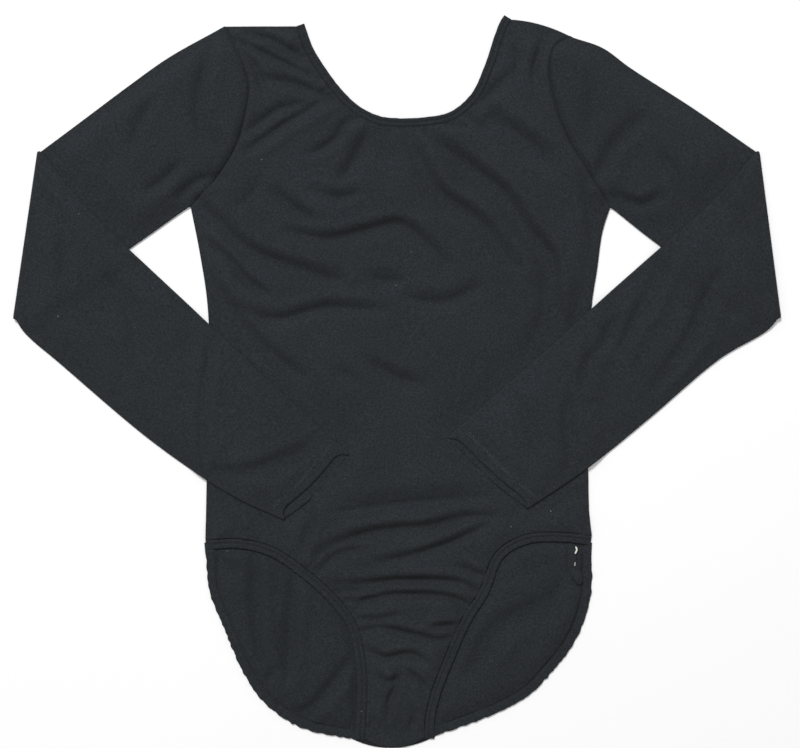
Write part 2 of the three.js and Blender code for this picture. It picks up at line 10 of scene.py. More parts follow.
import bmesh
import bpy
import numpy as np
from bpy.props import FloatProperty, FloatVectorProperty, IntProperty, PointerProperty
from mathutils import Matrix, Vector


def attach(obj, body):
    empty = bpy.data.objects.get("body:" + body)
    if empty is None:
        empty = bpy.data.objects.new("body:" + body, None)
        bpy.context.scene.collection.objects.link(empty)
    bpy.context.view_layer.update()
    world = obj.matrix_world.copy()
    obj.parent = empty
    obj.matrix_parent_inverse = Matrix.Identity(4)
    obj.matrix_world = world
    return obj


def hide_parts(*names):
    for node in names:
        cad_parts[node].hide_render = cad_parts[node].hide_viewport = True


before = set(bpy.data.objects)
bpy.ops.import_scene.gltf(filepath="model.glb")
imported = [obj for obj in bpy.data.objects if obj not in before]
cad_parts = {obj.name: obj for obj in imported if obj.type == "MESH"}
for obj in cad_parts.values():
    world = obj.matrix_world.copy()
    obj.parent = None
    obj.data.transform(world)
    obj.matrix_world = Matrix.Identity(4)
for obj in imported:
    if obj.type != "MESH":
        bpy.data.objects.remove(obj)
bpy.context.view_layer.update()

bl_info = {
    "name": "Jersey leotard",
    "version": (1, 0, 0),
    "blender": (4, 5, 0),
    "location": "3D View > Sidebar > Leotard",
    "description": "Dresses the leotard's solids with gathered jersey, elastic bands, seams and stitches",
    "category": "Object",
}

MM = 0.001

# Sizes of the cut, as in the solids
SEAM = 0.3  # space between pieces at a seam, and between layers
CLOTH = 1.2  # room that one layer takes
NECK_BAND = 8.0
LEG_BAND = 9.0
BAND_WALL = 2.0
BACK_NECK_DROP = 3.0
FRONT_BASE = CLOTH + SEAM
FRONT_TOP = FRONT_BASE + CLOTH
FOLD_HEIGHT = FRONT_TOP + SEAM / 2  # height of the line that a sleeve is folded about
CENTRE_SPLIT = 0.555  # share of the centre line above the leg opening's corner
CROTCH_ROUND = -2.5

# How the cloth lies
LOFT, LOFT_RUN = 5.6, 24.0  # how high the front stands, and how far in from its edge it gets there
FOREARM_LOFT = 3.6
BACK_LOFT = 5.4  # the back stands this much above the surface where it shows
PRESSED, PRESSED_RUN = 0.5, 36.0  # the front is pressed flat under a forearm and rises again beside it
BESIDE_ARM = 10.0  # its folds fade out over this distance beside the forearm
HELD_RUN = 14.0  # an edge holds the folds down within this distance
BRIDGE, BRIDGE_RUN = 3.0, 16.0  # a forearm comes down to the surface past the garment's edge
SIDE_ROLL = 4.0  # the front turns down to the back along the side seams over this distance
CREASE_CORE = 2.7  # half width of the sharp bottom of a crease

NECK_LEFT = [[-84, 324], [-76, 302], [-63, 281], [-50, 264], [-34, 249], [-15, 240], [3, 238]]
NECK_RIGHT = [[97, 331.6], [93, 325], [88, 312], [79, 285], [67, 260], [48, 244], [24, 239], [3, 238]]
CROTCH_SEAM = [[-38, -324], [-2, -332], [34, -323]]
CENTRE = [[3, 238], [2, 60], [0, -110], [-2, -260], [-2, -331.5]]
LEFT = {
    "side": -1,
    "neck": NECK_LEFT,
    "shoulder_rise": 0,
    "armhole": [[-157, 321], [-144, 296], [-135, 269], [-137, 247], [-147, 212], [-164, 185], [-187, 159]],
    "seam": [[-187, 159], [-179, 119], [-172, 74], [-170, 33], [-172, -71], [-173, -126]],
    "leg": [
        [-173, -152], [-142, -151], [-115, -158], [-88, -176], [-61, -200], [-44, -224], [-37, -256],
        [-36, -285], [-38, -323],
    ],
    "back_leg": [
        [-173, -156], [-170, -189], [-156, -225], [-141, -260], [-122, -289], [-88, -313], [-40, -324],
    ],
    "upper_top": [[-157, 321], [-207, 293], [-245, 266], [-281, 239], [-322.5, 208]],
    "upper_under": [[-187, 159], [-241, 121], [-297, 85], [-344.6, 56]],
    "fore_upper": [[-322.5, 208], [-280, 157], [-251, 128], [-171, 53], [-117, 2], [-65, -46], [-43, -65]],
    "fore_lower": [
        [-344.6, 56], [-336, 43], [-306, 17], [-226, -51], [-174, -88], [-142, -107], [-103, -125],
    ],
    "cuff_drop": 4.6,
    "cuff_lens": 9.4,
}
RIGHT = {
    "side": 1,
    "neck": NECK_RIGHT,
    "shoulder_rise": 3,
    "armhole": [[157, 312], [143, 302], [139, 283], [146, 244], [158, 215], [173, 191], [193, 158]],
    "seam": [[193, 158], [186, 136], [181, 101], [176, 67], [173, -17], [173, -78], [174, -120]],
    "leg": [
        [175, -148], [148, -145], [118, -147], [96, -160], [83, -191], [66, -219], [53, -248], [39, -284],
        [34, -307], [34, -322],
    ],
    "back_leg": [
        [176, -156], [176, -189], [169, -218], [157, -242], [141, -262], [121, -283], [93, -299],
        [57, -313], [37, -320],
    ],
    "upper_top": [[157, 312], [186, 302], [211, 284], [267, 248], [325, 208]],
    "upper_under": [[193, 158], [239, 122], [293, 88], [344.6, 57]],
    "fore_upper": [[325, 208], [289, 167], [239, 122], [177, 67], [130, 24], [73, -26], [46, -50]],
    "fore_lower": [[344.6, 57], [335, 46], [293, 21], [229, -33], [185, -69], [147, -96], [118, -115]],
    "cuff_drop": 3,
    "cuff_lens": 6.2,
}
SIDES = {"left": LEFT, "right": RIGHT}

# Each row: width and depth of the trough, share of the depth that stands up beside it (on the left of the
# path where positive), and the path.
FRONT_CREASES = [
    # drapes that fall from the neck
    (8, 3.0, 0.7, [[6, 228], [15, 208], [37, 168], [73, 143], [106, 104]]),
    (8, 3.4, 0.7, [[26, 225], [61, 195], [95, 168], [115, 137], [134, 113], [139, 80], [141, 40]]),
    (4, 2.2, 0.3, [[139, 116], [141, 98], [143, 80], [145, 62], [146, 45]]),
    (11, 3.6, 0.6, [[79, 239], [105, 219], [135, 198]]),
    (5, 1.6, 0.5, [[-34, 238], [-47, 233], [-54, 221], [-65, 212], [-78, 206]]),
    (7, 2.4, -0.3, [[-18, 231], [-32, 210], [-40, 196], [-50, 184]]),
    (6, 2.0, 0.5, [[-64, 255], [-83, 243], [-102, 232], [-117, 221], [-134, 210]]),
    (6, 1.6, 0.4, [[-84, 252], [-108, 245], [-122, 235], [-141, 222]]),
    (6, 1.6, 0.4, [[73, 250], [89, 264], [102, 279]]),
    (5, 1.4, 0.4, [[37, 236], [53, 232], [68, 227]]),
    (5, 1.2, 0.4, [[52, 243], [66, 236], [80, 226]]),
    (13, 1.9, 0.1, [[-20, 226], [-14, 212], [-8, 197]]),
    (4, 1.0, 0.4, [[-4, 231], [-10, 218], [-13, 202]]),
    # left shoulder
    (4.5, 1.8, 0.5, [[-135, 313], [-115, 308], [-102, 302], [-86, 293]]),
    (4.5, 1.8, 0.5, [[-148, 308], [-133, 302], [-106, 289], [-72, 272]]),
    (4, 1.3, 0.4, [[-117, 303], [-97, 294], [-82, 285]]),
    (5, 1.6, 0.4, [[-141, 299], [-132, 290], [-127, 281], [-123, 269], [-118, 256]]),
    (6, 1.8, 0.5, [[-118, 273], [-102, 270], [-74, 261], [-56, 250]]),
    # right shoulder
    (6, 1.6, 0.3, [[135, 312], [128, 296], [124, 281], [124, 266]]),
    (7, 1.4, 0.3, [[104, 312], [108, 290], [106, 268]]),
    # chest
    (6, 2.3, 0.4, [[-109, 171], [-95, 157], [-75, 145]]),
    (6, 2.2, 0.5, [[-96, 135], [-60, 128], [-28, 135], [2, 141], [25, 126], [44, 106]]),
    (6, 1.4, 0.4, [[-74, 172], [-54, 166], [-32, 170]]),
    (7, 2.8, 0.4, [[-178, 158], [-161, 143], [-133, 117], [-83, 99], [-52, 91]]),
    (4.5, 2.3, 0.4, [[-173, 127], [-151, 109], [-136, 91], [-117, 78]]),
    (7, 2.2, 0.4, [[-174, 90], [-159, 77], [-140, 48], [-122, 28], [-86, 4]]),
    (6, 1.7, 0.5, [[-142, 66], [-111, 56], [-64, 66], [-12, 64]]),
    (8, 2.0, 0.3, [[10, 75], [43, 71], [72, 85]]),
    (9, 1.8, 0.2, [[-22, 94], [-8, 90], [7, 91]]),
    (7, 1.9, 0.3, [[-25, 18], [-4, 5], [21, -3]]),
    (7, 1.0, 0.3, [[-55, 12], [-44, 5], [-36, -4]]),
    (8, 1.0, 0.3, [[132, 92], [131, 53], [123, 19]]),
    (6, 1.6, 0.3, [[167, 188], [171, 168], [177, 135], [183, 118]]),
    (9, 0.6, 0.3, [[60, 190], [86, 160], [100, 132]]),
    (9, 0.9, 0.3, [[-120, 190], [-132, 168], [-150, 152]]),
    # along the armhole seams
    (2.4, 1.0, 0.0, [[-155, 318], *LEFT["armhole"][1:-1], [-184, 162]]),
    (2.4, 1.3, 0.0, [[155, 310], *RIGHT["armhole"][1:-1], [190, 161]]),
    # under the cuffs and over the hips
    (10, 1.8, 0.3, [[-56, -118], [6, -110], [92, -103]]),
    (6, 2.4, 0.5, [[-72, -159], [-56, -148], [-20, -137], [30, -132], [62, -123], [90, -121]]),
    (5, 1.8, 0.5, [[-70, -171], [-56, -159], [-45, -154], [-30, -151]]),
    (5, 1.8, 0.5, [[-17, -163], [12, -158], [53, -144], [85, -127]]),
    (6, 1.8, 1.0, [[-171, -93], [-147, -107], [-129, -121], [-115, -133], [-104, -145]]),
    (5, 1.5, 1.0, [[-154, -111], [-146, -124], [-142, -136]]),
    (5, 1.8, 0.9, [[-83, -106], [-79, -121], [-78, -130], [-83, -144], [-85, -154]]),
    (6, 2.0, 0.9, [[93, -93], [107, -110], [130, -112], [148, -105], [174, -100]]),
    # gathers at the crotch
    (4.5, 2.0, 0.5, [[-53, -184], [-15, -182], [7, -180], [59, -183], [76, -192]]),
    (3.5, 1.2, 0.5, [[-53, -190], [-36, -189], [-18, -188]]),
    (4.5, 1.9, 0.5, [[-43, -199], [-15, -195], [3, -193], [44, -195], [67, -202]]),
    (4.5, 1.5, 0.5, [[58, -167], [71, -174], [84, -178]]),
    (4, 1.4, 0.5, [[-38, -206], [-24, -199], [-12, -203]]),
    (4, 1.3, 0.5, [[-34, -215], [-17, -215], [2, -211]]),
    (4, 1.4, 0.5, [[52, -197], [62, -207], [68, -213]]),
    (4.5, 1.8, 0.5, [[-31, -226], [-15, -223], [12, -229], [39, -234], [50, -231]]),
    (4, 1.5, 0.5, [[30, -223], [44, -221], [57, -223]]),
    (4.5, 1.7, 0.5, [[-27, -243], [-10, -250], [7, -247], [16, -248], [27, -255]]),
    (4, 1.4, 0.5, [[9, -262], [21, -271], [27, -281]]),
    (4, 1.2, 0.5, [[-18, -266], [-8, -271], [2, -269]]),
    (4, 1.5, 0.5, [[0, -262], [-1, -275], [-7, -289], [-8, -303]]),
    (4, 1.2, 0.5, [[-23, -301], [-21, -313], [-22, -326]]),
    (4, 1.1, 0.5, [[12, -292], [15, -305], [11, -318]]),
    # upper arms
    (7, 1.8, 0.4, [[-170, 297], [-179, 260], [-180, 242], [-176, 228], [-166, 213]]),
    (6, 1.8, 0.4, [[-196, 197], [-210, 183], [-226, 172]]),
    (6, 1.6, 0.4, [[-158, 184], [-178, 182], [-198, 167]]),
    (7, 2.8, 0.4, [[220, 238], [202, 219], [191, 205], [184, 190], [180, 184]]),
    (5, 2.4, 0.5, [[200, 166], [211, 161], [220, 159], [231, 163], [240, 169]]),
    (8, 1.4, 0.3, [[172, 279], [175, 246], [173, 214]]),
    (6, 1.2, 0.3, [[-214, 260], [-232, 236], [-238, 212]]),
    (6, 1.2, 0.3, [[238, 206], [252, 186], [258, 164]]),
]
FOREARM_CREASES = [
    (8, 2.3, 0.4, [[-169, -87], [-133, -83], [-95, -70], [-63, -52]]),
    (5, 2.6, 0.3, [[-168, 34], [-170, 10], [-174, -17], [-174, -76]]),
    (8, 1.8, 0.4, [[-318, 166], [-299, 132], [-302, 94]]),
    (9, 1.3, 0.3, [[-262, 96], [-240, 60], [-236, 22]]),
    (7, 2.8, 0.4, [[250, 129], [245, 115], [232, 82], [214, 52], [202, 32]]),
    (7, 2.8, 0.4, [[290, 96], [278, 66], [270, 44], [250, 16], [232, -6]]),
    (6, 1.8, 0.4, [[199, 58], [190, 42], [183, 27]]),
    (6, 2.4, 0.3, [[176, 26], [171, 10], [168, -5]]),
    (6, 2.6, 0.3, [[153, -18], [156, -46], [157, -76]]),
    (6, 1.6, 0.3, [[296, 166], [308, 150], [316, 128]]),
    (8, 1.3, 0.3, [[104, -4], [120, -38], [126, -66]]),
]
BACK_CREASES = [
    (6, 3.4, 0.6, [[-130, -154], [-128, -180], [-127, -207], [-125, -234], [-121, -253]]),
    (6, 3.2, 0.6, [[-92, -172], [-93, -189], [-96, -216], [-97, -244], [-100, -268]]),
    (6, 1.5, 0.3, [[-113, -256], [-114, -264], [-117, -272]]),
    (7, 2.7, 0.4, [[-42, -252], [-56, -271], [-68, -286], [-77, -295], [-87, -301]]),
    (6, 2.0, 0.4, [[-170, -158], [-156, -165], [-148, -173]]),
    (10, 3.3, 0.3, [[139, -197], [121, -207], [93, -225], [73, -251], [65, -264]]),
    (9, 1.5, 0.3, [[150, -176], [140, -205], [122, -232]]),
]


def smooth(t):
    c = np.clip(t, 0.0, 1.0)
    return c * c * (3 - 2 * c)


def mix(a, b, t):
    return a + (b - a) * t


def unit(step):
    return step / np.linalg.norm(step)


def marks_of(points):
    """How far along a line each of its points is."""
    return np.concatenate([[0], np.cumsum(np.linalg.norm(np.diff(points, axis=0), axis=1))])


def left_of(run):
    return np.stack([-run[:, 1], run[:, 0]], axis=-1)


def spread(count, ends=0.5):
    """Shares from 0 to 1, closer together near both ends."""
    t = np.linspace(0, 1, count + 1)
    return mix(t, 0.5 - 0.5 * np.cos(np.pi * t), ends)


class Curve:
    """A smooth curve through an outline's rows, walked by share of its length."""

    STEPS = 24

    def __init__(self, rows):
        p = np.array(rows, float)
        p = np.vstack([2 * p[0] - p[1], p, 2 * p[-1] - p[-2]])
        u = np.linspace(0, 1, self.STEPS, endpoint=False)[:, None]
        runs = []
        for p0, p1, p2, p3 in zip(p, p[1:], p[2:], p[3:]):
            d0, d1, d2 = (math.sqrt(np.linalg.norm(b - a)) for a, b in ((p0, p1), (p1, p2), (p2, p3)))
            t1 = ((p1 - p0) / d0 - (p2 - p0) / (d0 + d1) + (p2 - p1) / d1) * d1
            t2 = ((p2 - p1) / d1 - (p3 - p1) / (d1 + d2) + (p3 - p2) / d2) * d1
            bend = 3 * (p2 - p1) - 2 * t1 - t2
            runs.append(p1 + t1 * u + bend * u**2 + (2 * (p1 - p2) + t1 + t2) * u**3)
        self.points = np.vstack([*runs, p[-2:-1]])
        self.marks = marks_of(self.points)
        self.length = self.marks[-1]

    def at(self, share):
        s = np.asarray(share, float) * self.length
        return np.stack([np.interp(s, self.marks, self.points[:, k]) for k in (0, 1)], axis=-1)

    def run(self, share):
        share = np.asarray(share, float)
        step = self.at(np.clip(share + 0.004, 0, 1)) - self.at(np.clip(share - 0.004, 0, 1))
        return step / np.linalg.norm(step, axis=-1, keepdims=True)


def edge_nodes(rows, steps, side, inset):
    """Points along an outline moved into the cloth by inset, with the directions out of it."""
    curve = Curve(rows)
    share = np.linspace(0, 1, steps + 1)
    out = left_of(curve.run(share)) * side
    return curve.at(share) - out * inset, out


def nearest_on(line, xy, closed=False):
    """For each point, its distance to a line of points, how far along the line the nearest place is, and
    the distance with a sign for the side, positive on the left of the line."""
    a = line if closed else line[:-1]
    d = (np.roll(line, -1, axis=0) if closed else line[1:]) - a
    lengths = np.linalg.norm(d, axis=1)
    marks = np.concatenate([[0], np.cumsum(lengths)[:-1]])
    distance = np.empty(len(xy))
    along = np.empty(len(xy))
    beside = np.empty(len(xy))
    for start in range(0, len(xy), 4096):
        rel = xy[start : start + 4096, None, :] - a[None]
        t = np.clip((rel * d).sum(-1) / np.maximum((d * d).sum(-1), 1e-9), 0, 1)
        off = rel - t[..., None] * d
        dist = np.hypot(off[..., 0], off[..., 1])
        k = dist.argmin(1)
        pick = np.arange(len(k))
        rows = slice(start, start + len(k))
        distance[rows] = dist[pick, k]
        along[rows] = marks[k] + t[pick, k] * lengths[k]
        cross = d[k, 0] * off[pick, k, 1] - d[k, 1] * off[pick, k, 0]
        beside[rows] = np.sign(cross) * dist[pick, k]
    return distance, along, beside


def is_inside(line, xy):
    inside = np.zeros(len(xy), bool)
    x, y = xy.T
    for (ax, ay), (bx, by) in zip(line, np.roll(line, -1, axis=0)):
        if ay == by:
            continue
        crossing = ((ay > y) != (by > y)) & (x < ax + (y - ay) * (bx - ax) / (by - ay))
        inside ^= crossing
    return inside


def depth_inside(line, xy):
    """Distance from a closed outline, positive inside it."""
    distance = nearest_on(line, xy, closed=True)[0]
    return np.where(is_inside(line, xy), distance, -distance)


def creases(table, xy):
    """Sum of the troughs in a table, each with a lower ridge beside it, fading at its ends."""
    total = np.zeros(len(xy))
    for width, depth, ridge, path in table:
        line = Curve(path).at(np.linspace(0, 1, 19))
        low, high = line.min(0) - 4 * width, line.max(0) + 4 * width
        near = np.flatnonzero(((xy > low) & (xy < high)).all(1))
        if not len(near):
            continue
        distance, along, beside = nearest_on(line, xy[near])
        ends = np.sin(np.pi * mix(0.05, 0.95, along / marks_of(line)[-1])) ** 0.6
        trough = np.exp(-((distance / width) ** 2)) + 0.5 * np.exp(-((distance / CREASE_CORE) ** 2))
        ridge_at = math.copysign(1.8 * width, ridge)
        crest = np.exp(-(((beside - ridge_at) / width) ** 2) - (distance / (2.6 * width)) ** 4)
        total[near] += depth * ends * (abs(ridge) * crest * np.maximum(1 - trough, 0) - trough)
    return total


def soft_floor(height, room):
    """Heights that ease to nothing instead of being cut off there; room is the height of smooth cloth."""
    low = 0.3 * np.maximum(room, 0.01)
    return np.where(height > low, height, low * np.exp(np.minimum(height / low - 1, 0)))


def crumple(xy, seed, longest=70.0, shortest=16.0, waves=34):
    """Soft uneven waves that keep flat cloth from looking ironed, about one unit high."""
    rng = np.random.default_rng(seed)
    total = np.zeros(len(xy))
    for _ in range(waves):
        length = shortest * (longest / shortest) ** rng.random()
        angle = rng.random() * 2 * math.pi
        phase = rng.random() * 2 * math.pi
        way = np.array([math.cos(angle), math.sin(angle)]) * 2 * math.pi / length
        total += (length / longest) ** 0.8 * np.sin(xy @ way + phase)
    return total / math.sqrt(waves / 2)


class Gathers:
    """Ruffles along an elastic edge, uneven in spacing, height and reach."""

    def __init__(self, line, spacing, height, reach, seed):
        rng = np.random.default_rng(seed)
        self.line = line
        count = int(marks_of(line)[-1] / spacing * 1.8) + 6
        steps = spacing * rng.uniform(0.45, 1.9, count)
        self.marks = np.cumsum(steps) - spacing
        self.phase = np.arange(count) * math.pi
        self.heights = height * rng.uniform(0.15, 1.15, count)
        self.reaches = reach * rng.uniform(0.5, 1.6, count)

    def wave(self, along):
        return np.cos(np.interp(along, self.marks, self.phase)) * np.interp(along, self.marks, self.heights)

    def relief(self, xy):
        distance, along, _ = nearest_on(self.line, xy)
        reach = np.interp(along, self.marks, self.reaches)
        return self.wave(along) * np.exp(-((distance / reach) ** 1.3))


def outline_of(*runs):
    return np.vstack([Curve(rows).at(np.linspace(0, 1, 5 * len(rows)))[:-1] for rows in runs])


FRONT_OUTLINE = outline_of(
    NECK_LEFT[:1] + LEFT["upper_top"],
    LEFT["upper_under"][::-1],
    LEFT["seam"],
    LEFT["leg"],
    RIGHT["leg"][::-1],
    RIGHT["seam"][::-1],
    RIGHT["upper_under"],
    RIGHT["upper_top"][::-1] + NECK_RIGHT[:1],
    NECK_RIGHT,
    NECK_LEFT[::-1],
)
FOREARM_OUTLINES = {
    name: outline_of(half["fore_upper"], half["fore_lower"][::-1]) for name, half in SIDES.items()
}
CRUMPLE_SEEDS = {"front": 5, "left": 7, "right": 8, "back": 9}
FRONT_STEPS = {"neck": 100, "side": 170, "leg": 160}
BACK_STEPS = {"neck": 30, "side": 60, "leg": 118}
BAND_STEPS = {"neck": 130, "leg": 220}


def half_edges(name, steps, front=True):
    """Edge nodes of one half of a panel at the neck and the leg, inside the finished edge by the band."""
    half = SIDES[name]
    drop = 0 if front else BACK_NECK_DROP
    neck = edge_nodes(half["neck"], steps["neck"], -half["side"], NECK_BAND + SEAM + drop)
    leg = edge_nodes(half["leg" if front else "back_leg"], steps["leg"], half["side"], LEG_BAND + SEAM)
    return neck, leg


def neck_line(steps, front=True):
    """The panel's neck edge from shoulder to shoulder, left first, with the directions out of the cloth."""
    left, right = (half_edges(name, steps, front)[0] for name in ("left", "right"))
    drop = 0 if front else BACK_NECK_DROP
    middle = np.array([[CENTRE[0][0], CENTRE[0][1] - NECK_BAND - SEAM - drop]])
    points = np.vstack([left[0][:-1], middle, right[0][:-1][::-1]])
    outs = np.vstack([left[1][:-1], [[0, 1]], right[1][:-1][::-1]])
    return points, outs


NECK_GATHERS = Gathers(neck_line(FRONT_STEPS)[0], 4.6, 0.55, 11, seed=11)
LEG_GATHERS = {
    name: Gathers(half_edges(name, FRONT_STEPS)[1][0], 3.3, 0.5, 8.5, seed=seed)
    for name, seed in (("left", 21), ("right", 22))
}
BACK_GATHERS = {
    name: Gathers(half_edges(name, BACK_STEPS, False)[1][0], 4.4, 0.5, 7, seed=seed)
    for name, seed in (("left", 31), ("right", 32))
}


def looks():
    return bpy.context.scene.leotard_cloth


def front_relief(xy):
    """How far the front and the upper arms stand above their seams."""
    settings = looks()
    depth = depth_inside(FRONT_OUTLINE, xy)
    gap = np.minimum(*(-depth_inside(line, xy) for line in FOREARM_OUTLINES.values()))
    loft = LOFT * smooth(depth / LOFT_RUN) * smooth((gap - PRESSED) / PRESSED_RUN)
    free = smooth(gap / BESIDE_ARM)
    held = mix(0.45, 1.0, smooth(depth / HELD_RUN))
    folds = settings.crease_strength * creases(FRONT_CREASES, xy) * held
    folds += settings.crumple / MM * crumple(xy, CRUMPLE_SEEDS["front"]) * smooth(depth / 20)
    wanted = soft_floor(loft + folds * free, loft)
    gathers = NECK_GATHERS.relief(xy) + sum(g.relief(xy) for g in LEG_GATHERS.values())
    return np.maximum(wanted + settings.gather_strength * gathers, -0.5) * free


def front_top(xy):
    return FRONT_TOP + front_relief(xy)


def panel_top(xy):
    """The front body's top, turned down to the back along the side and shoulder seams and the armholes."""
    edges = [half[key] for half in SIDES.values() for key in ("seam", "armhole")] + [CROTCH_SEAM]
    roll = np.min([nearest_on(Curve(rows).at(np.linspace(0, 1, 60)), xy)[0] for rows in edges], axis=0)
    return front_top(xy) - 1.0 * (1 - smooth(roll / SIDE_ROLL)) ** 2


def support(xy):
    """Height of what a forearm lies on, compared with the front."""
    past = -depth_inside(FRONT_OUTLINE, xy)
    return -(FRONT_TOP + SEAM) * smooth((past - BRIDGE) / BRIDGE_RUN)


def forearm_relief(name, xy):
    settings = looks()
    depth = depth_inside(FOREARM_OUTLINES[name], xy)
    loft = FOREARM_LOFT * smooth(depth / LOFT_RUN)
    folds = settings.crease_strength * creases(FOREARM_CREASES, xy)
    folds += settings.crumple / MM * crumple(xy, CRUMPLE_SEEDS[name])
    return soft_floor(loft + folds * smooth(depth / HELD_RUN), loft)


def back_top(xy):
    """The back's top: flat under the front, with soft folds where it shows in the leg openings."""
    settings = looks()
    wall = settings.wall / MM
    free = smooth((-depth_inside(FRONT_OUTLINE, xy) - 0.2) / 8)
    depth = depth_inside(BACK_OUTLINE, xy)
    loft = BACK_LOFT * smooth((depth - 4) / 18)
    folds = settings.crease_strength * creases(BACK_CREASES, xy)
    folds += settings.crumple / MM * crumple(xy, CRUMPLE_SEEDS["back"]) * smooth(depth / HELD_RUN)
    gathers = sum(g.relief(xy) for g in BACK_GATHERS.values())
    relief = np.maximum(soft_floor(loft + folds, loft) + settings.gather_strength * gathers, 0)
    return wall + relief * free


BACK_OUTLINE = outline_of(
    NECK_LEFT[:1] + LEFT["armhole"][:1],
    LEFT["armhole"],
    LEFT["seam"],
    LEFT["back_leg"],
    RIGHT["back_leg"][::-1],
    RIGHT["seam"][::-1],
    RIGHT["armhole"][::-1],
    RIGHT["armhole"][:1] + NECK_RIGHT[:1],
    NECK_RIGHT,
    NECK_LEFT[::-1],
)


def require(condition, message):
    if not condition:
        raise RuntimeError(message)


def new_object(name, data):
    made = bpy.data.objects.new(name, data)
    bpy.context.scene.collection.objects.link(made)
    return made


def make_piece(name, corners, faces, uv, material):
    """A smooth mesh piece from corners in millimetres and a list of faces, riding on the garment."""
    require(len(faces), f"{name} has no faces")
    mesh = bpy.data.meshes.new(name)
    mesh.from_pydata((np.asarray(corners) * MM).tolist(), [], [list(map(int, f)) for f in faces])
    mesh.polygons.foreach_set("use_smooth", [True] * len(mesh.polygons))
    if uv is not None:
        layer = mesh.uv_layers.new(name="cloth")
        loops = np.empty(len(mesh.loops), int)
        mesh.loops.foreach_get("vertex_index", loops)
        layer.data.foreach_set("uv", (np.asarray(uv)[loops] * MM).ravel())
    mesh.materials.append(material)
    mesh.validate()
    piece = new_object(name, mesh)
    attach(piece, "root")
    return piece


def panel_rows(name, steps, front):
    """Outer and inner ends of the rows of one half, from the shoulder seam to the crotch."""
    half = SIDES[name]
    (neck, _), (leg, leg_out) = half_edges(name, steps, front)
    drop = 0 if front else BACK_NECK_DROP
    centre = Curve([[CENTRE[0][0], CENTRE[0][1] - NECK_BAND - SEAM - drop]] + CENTRE[1:])
    corner = leg[0] if front else np.array(half["back_leg"][0]) + [0, 1]
    armhole = Curve(half["armhole"])
    seam = Curve(half["seam"] + [list(corner)])
    t = np.linspace(0, 1, steps["neck"] + 1)
    outer = [armhole.at(t)]
    inner = [np.vstack([neck[:-1], centre.at(0.0)[None]])]
    rise = [half["shoulder_rise"] * (1 - t) ** 4]
    t = np.linspace(0, 1, steps["side"] + 1)[1:]
    outer.append(seam.at(t))
    inner.append(centre.at(CENTRE_SPLIT * t))
    rise.append(0 * t)
    if front:
        leg_outer = leg[1:]
    else:
        first, last = (a + unit(a - b) * 2 * SEAM for a, b in (leg[:2], leg[:-3:-1]))
        leg_outer = np.vstack([first, leg[1:-1], last, last + leg_out[-1] * (LEG_BAND + SEAM)])
    t = np.arange(1, len(leg_outer) + 1) / len(leg_outer)
    outer.append(leg_outer)
    inner.append(centre.at(mix(CENTRE_SPLIT, 1, t)))
    rise.append(CROTCH_ROUND * t**6)
    return np.vstack(outer), np.vstack(inner), np.concatenate(rise)


def panel_grids(steps, across, front):
    """Plan points of each half of a panel, as rows from the outer edge to the inner one."""
    shares = spread(across, 0.35)
    grids = {}
    for name in SIDES:
        outer, inner, rise = panel_rows(name, steps, front)
        grid = outer[:, None] + (inner - outer)[:, None] * shares[None, :, None]
        grid[..., 1] += rise[:, None] * 4 * shares * (1 - shares)
        grids[name] = grid
    return grids


def shrunk(heights):
    """Lowest of the heights around each place of a grid, for every second row and column."""
    low = np.pad(heights, 2, mode="edge")
    rows, columns = heights.shape
    near = [low[i : i + rows, j : j + columns] for i in range(5) for j in range(5)]
    return np.min(near, axis=0)[::2, ::2]


def make_panel(name, steps, across, front, top_of, material):
    """A body panel as a thin closed wall with soft edges. Its underside has every second point."""
    wall = looks().wall / MM
    corners, faces, count = [], [], 0
    grids = panel_grids(steps, across, front)
    heights = {key: top_of(grid.reshape(-1, 2)).reshape(grid.shape[:2]) for key, grid in grids.items()}
    lows = {key: shrunk(tops) - wall for key, tops in heights.items()}
    shared = slice(steps["neck"] // 2, None)
    middle = np.minimum(lows["left"][shared, -1], lows["right"][shared, -1])
    for half_name, grid in grids.items():
        require(grid.shape[0] % 2 and grid.shape[1] % 2, f"{name} needs an even number of steps")
        tops = heights[half_name]
        lows[half_name][shared, -1] = middle
        under = grid[::2, ::2]
        flip = SIDES[half_name]["side"] > 0
        upper_ids = count + np.arange(tops.size).reshape(tops.shape)
        under_ids = count + tops.size + np.arange(lows[half_name].size).reshape(under.shape[:2])
        count += upper_ids.size + under_ids.size
        corners += [stacked(grid, tops), stacked(under, lows[half_name])]
        for ids, turned in ((upper_ids, flip), (under_ids, not flip)):
            quads = np.stack([ids[:-1, :-1], ids[1:, :-1], ids[1:, 1:], ids[:-1, 1:]], axis=-1)
            faces += quads.reshape(-1, 4)[:, :: -1 if turned else 1].tolist()
        neck = steps["neck"]
        rim = [
            (upper_ids[:, 0], under_ids[:, 0]),
            (upper_ids[-1], under_ids[-1]),
            (upper_ids[neck::-1, -1], under_ids[neck // 2 :: -1, -1]),
            (upper_ids[0][::-1], under_ids[0][::-1]),
        ]
        for upper, lower in rim:
            for k in range(len(lower) - 1):
                face = [lower[k], lower[k + 1], upper[2 * k + 2], upper[2 * k + 1], upper[2 * k]]
                faces.append([int(i) for i in (face[::-1] if flip else face)])
    corners = np.vstack(corners)
    piece = make_piece(name, corners, faces, corners[:, :2], material)
    weld = bmesh.new()
    weld.from_mesh(piece.data)
    bmesh.ops.remove_doubles(weld, verts=weld.verts, dist=0.00001)
    weld.to_mesh(piece.data)
    weld.free()
    return piece


BAND_NEAR = -0.5  # a band reaches this far under the panel's edge


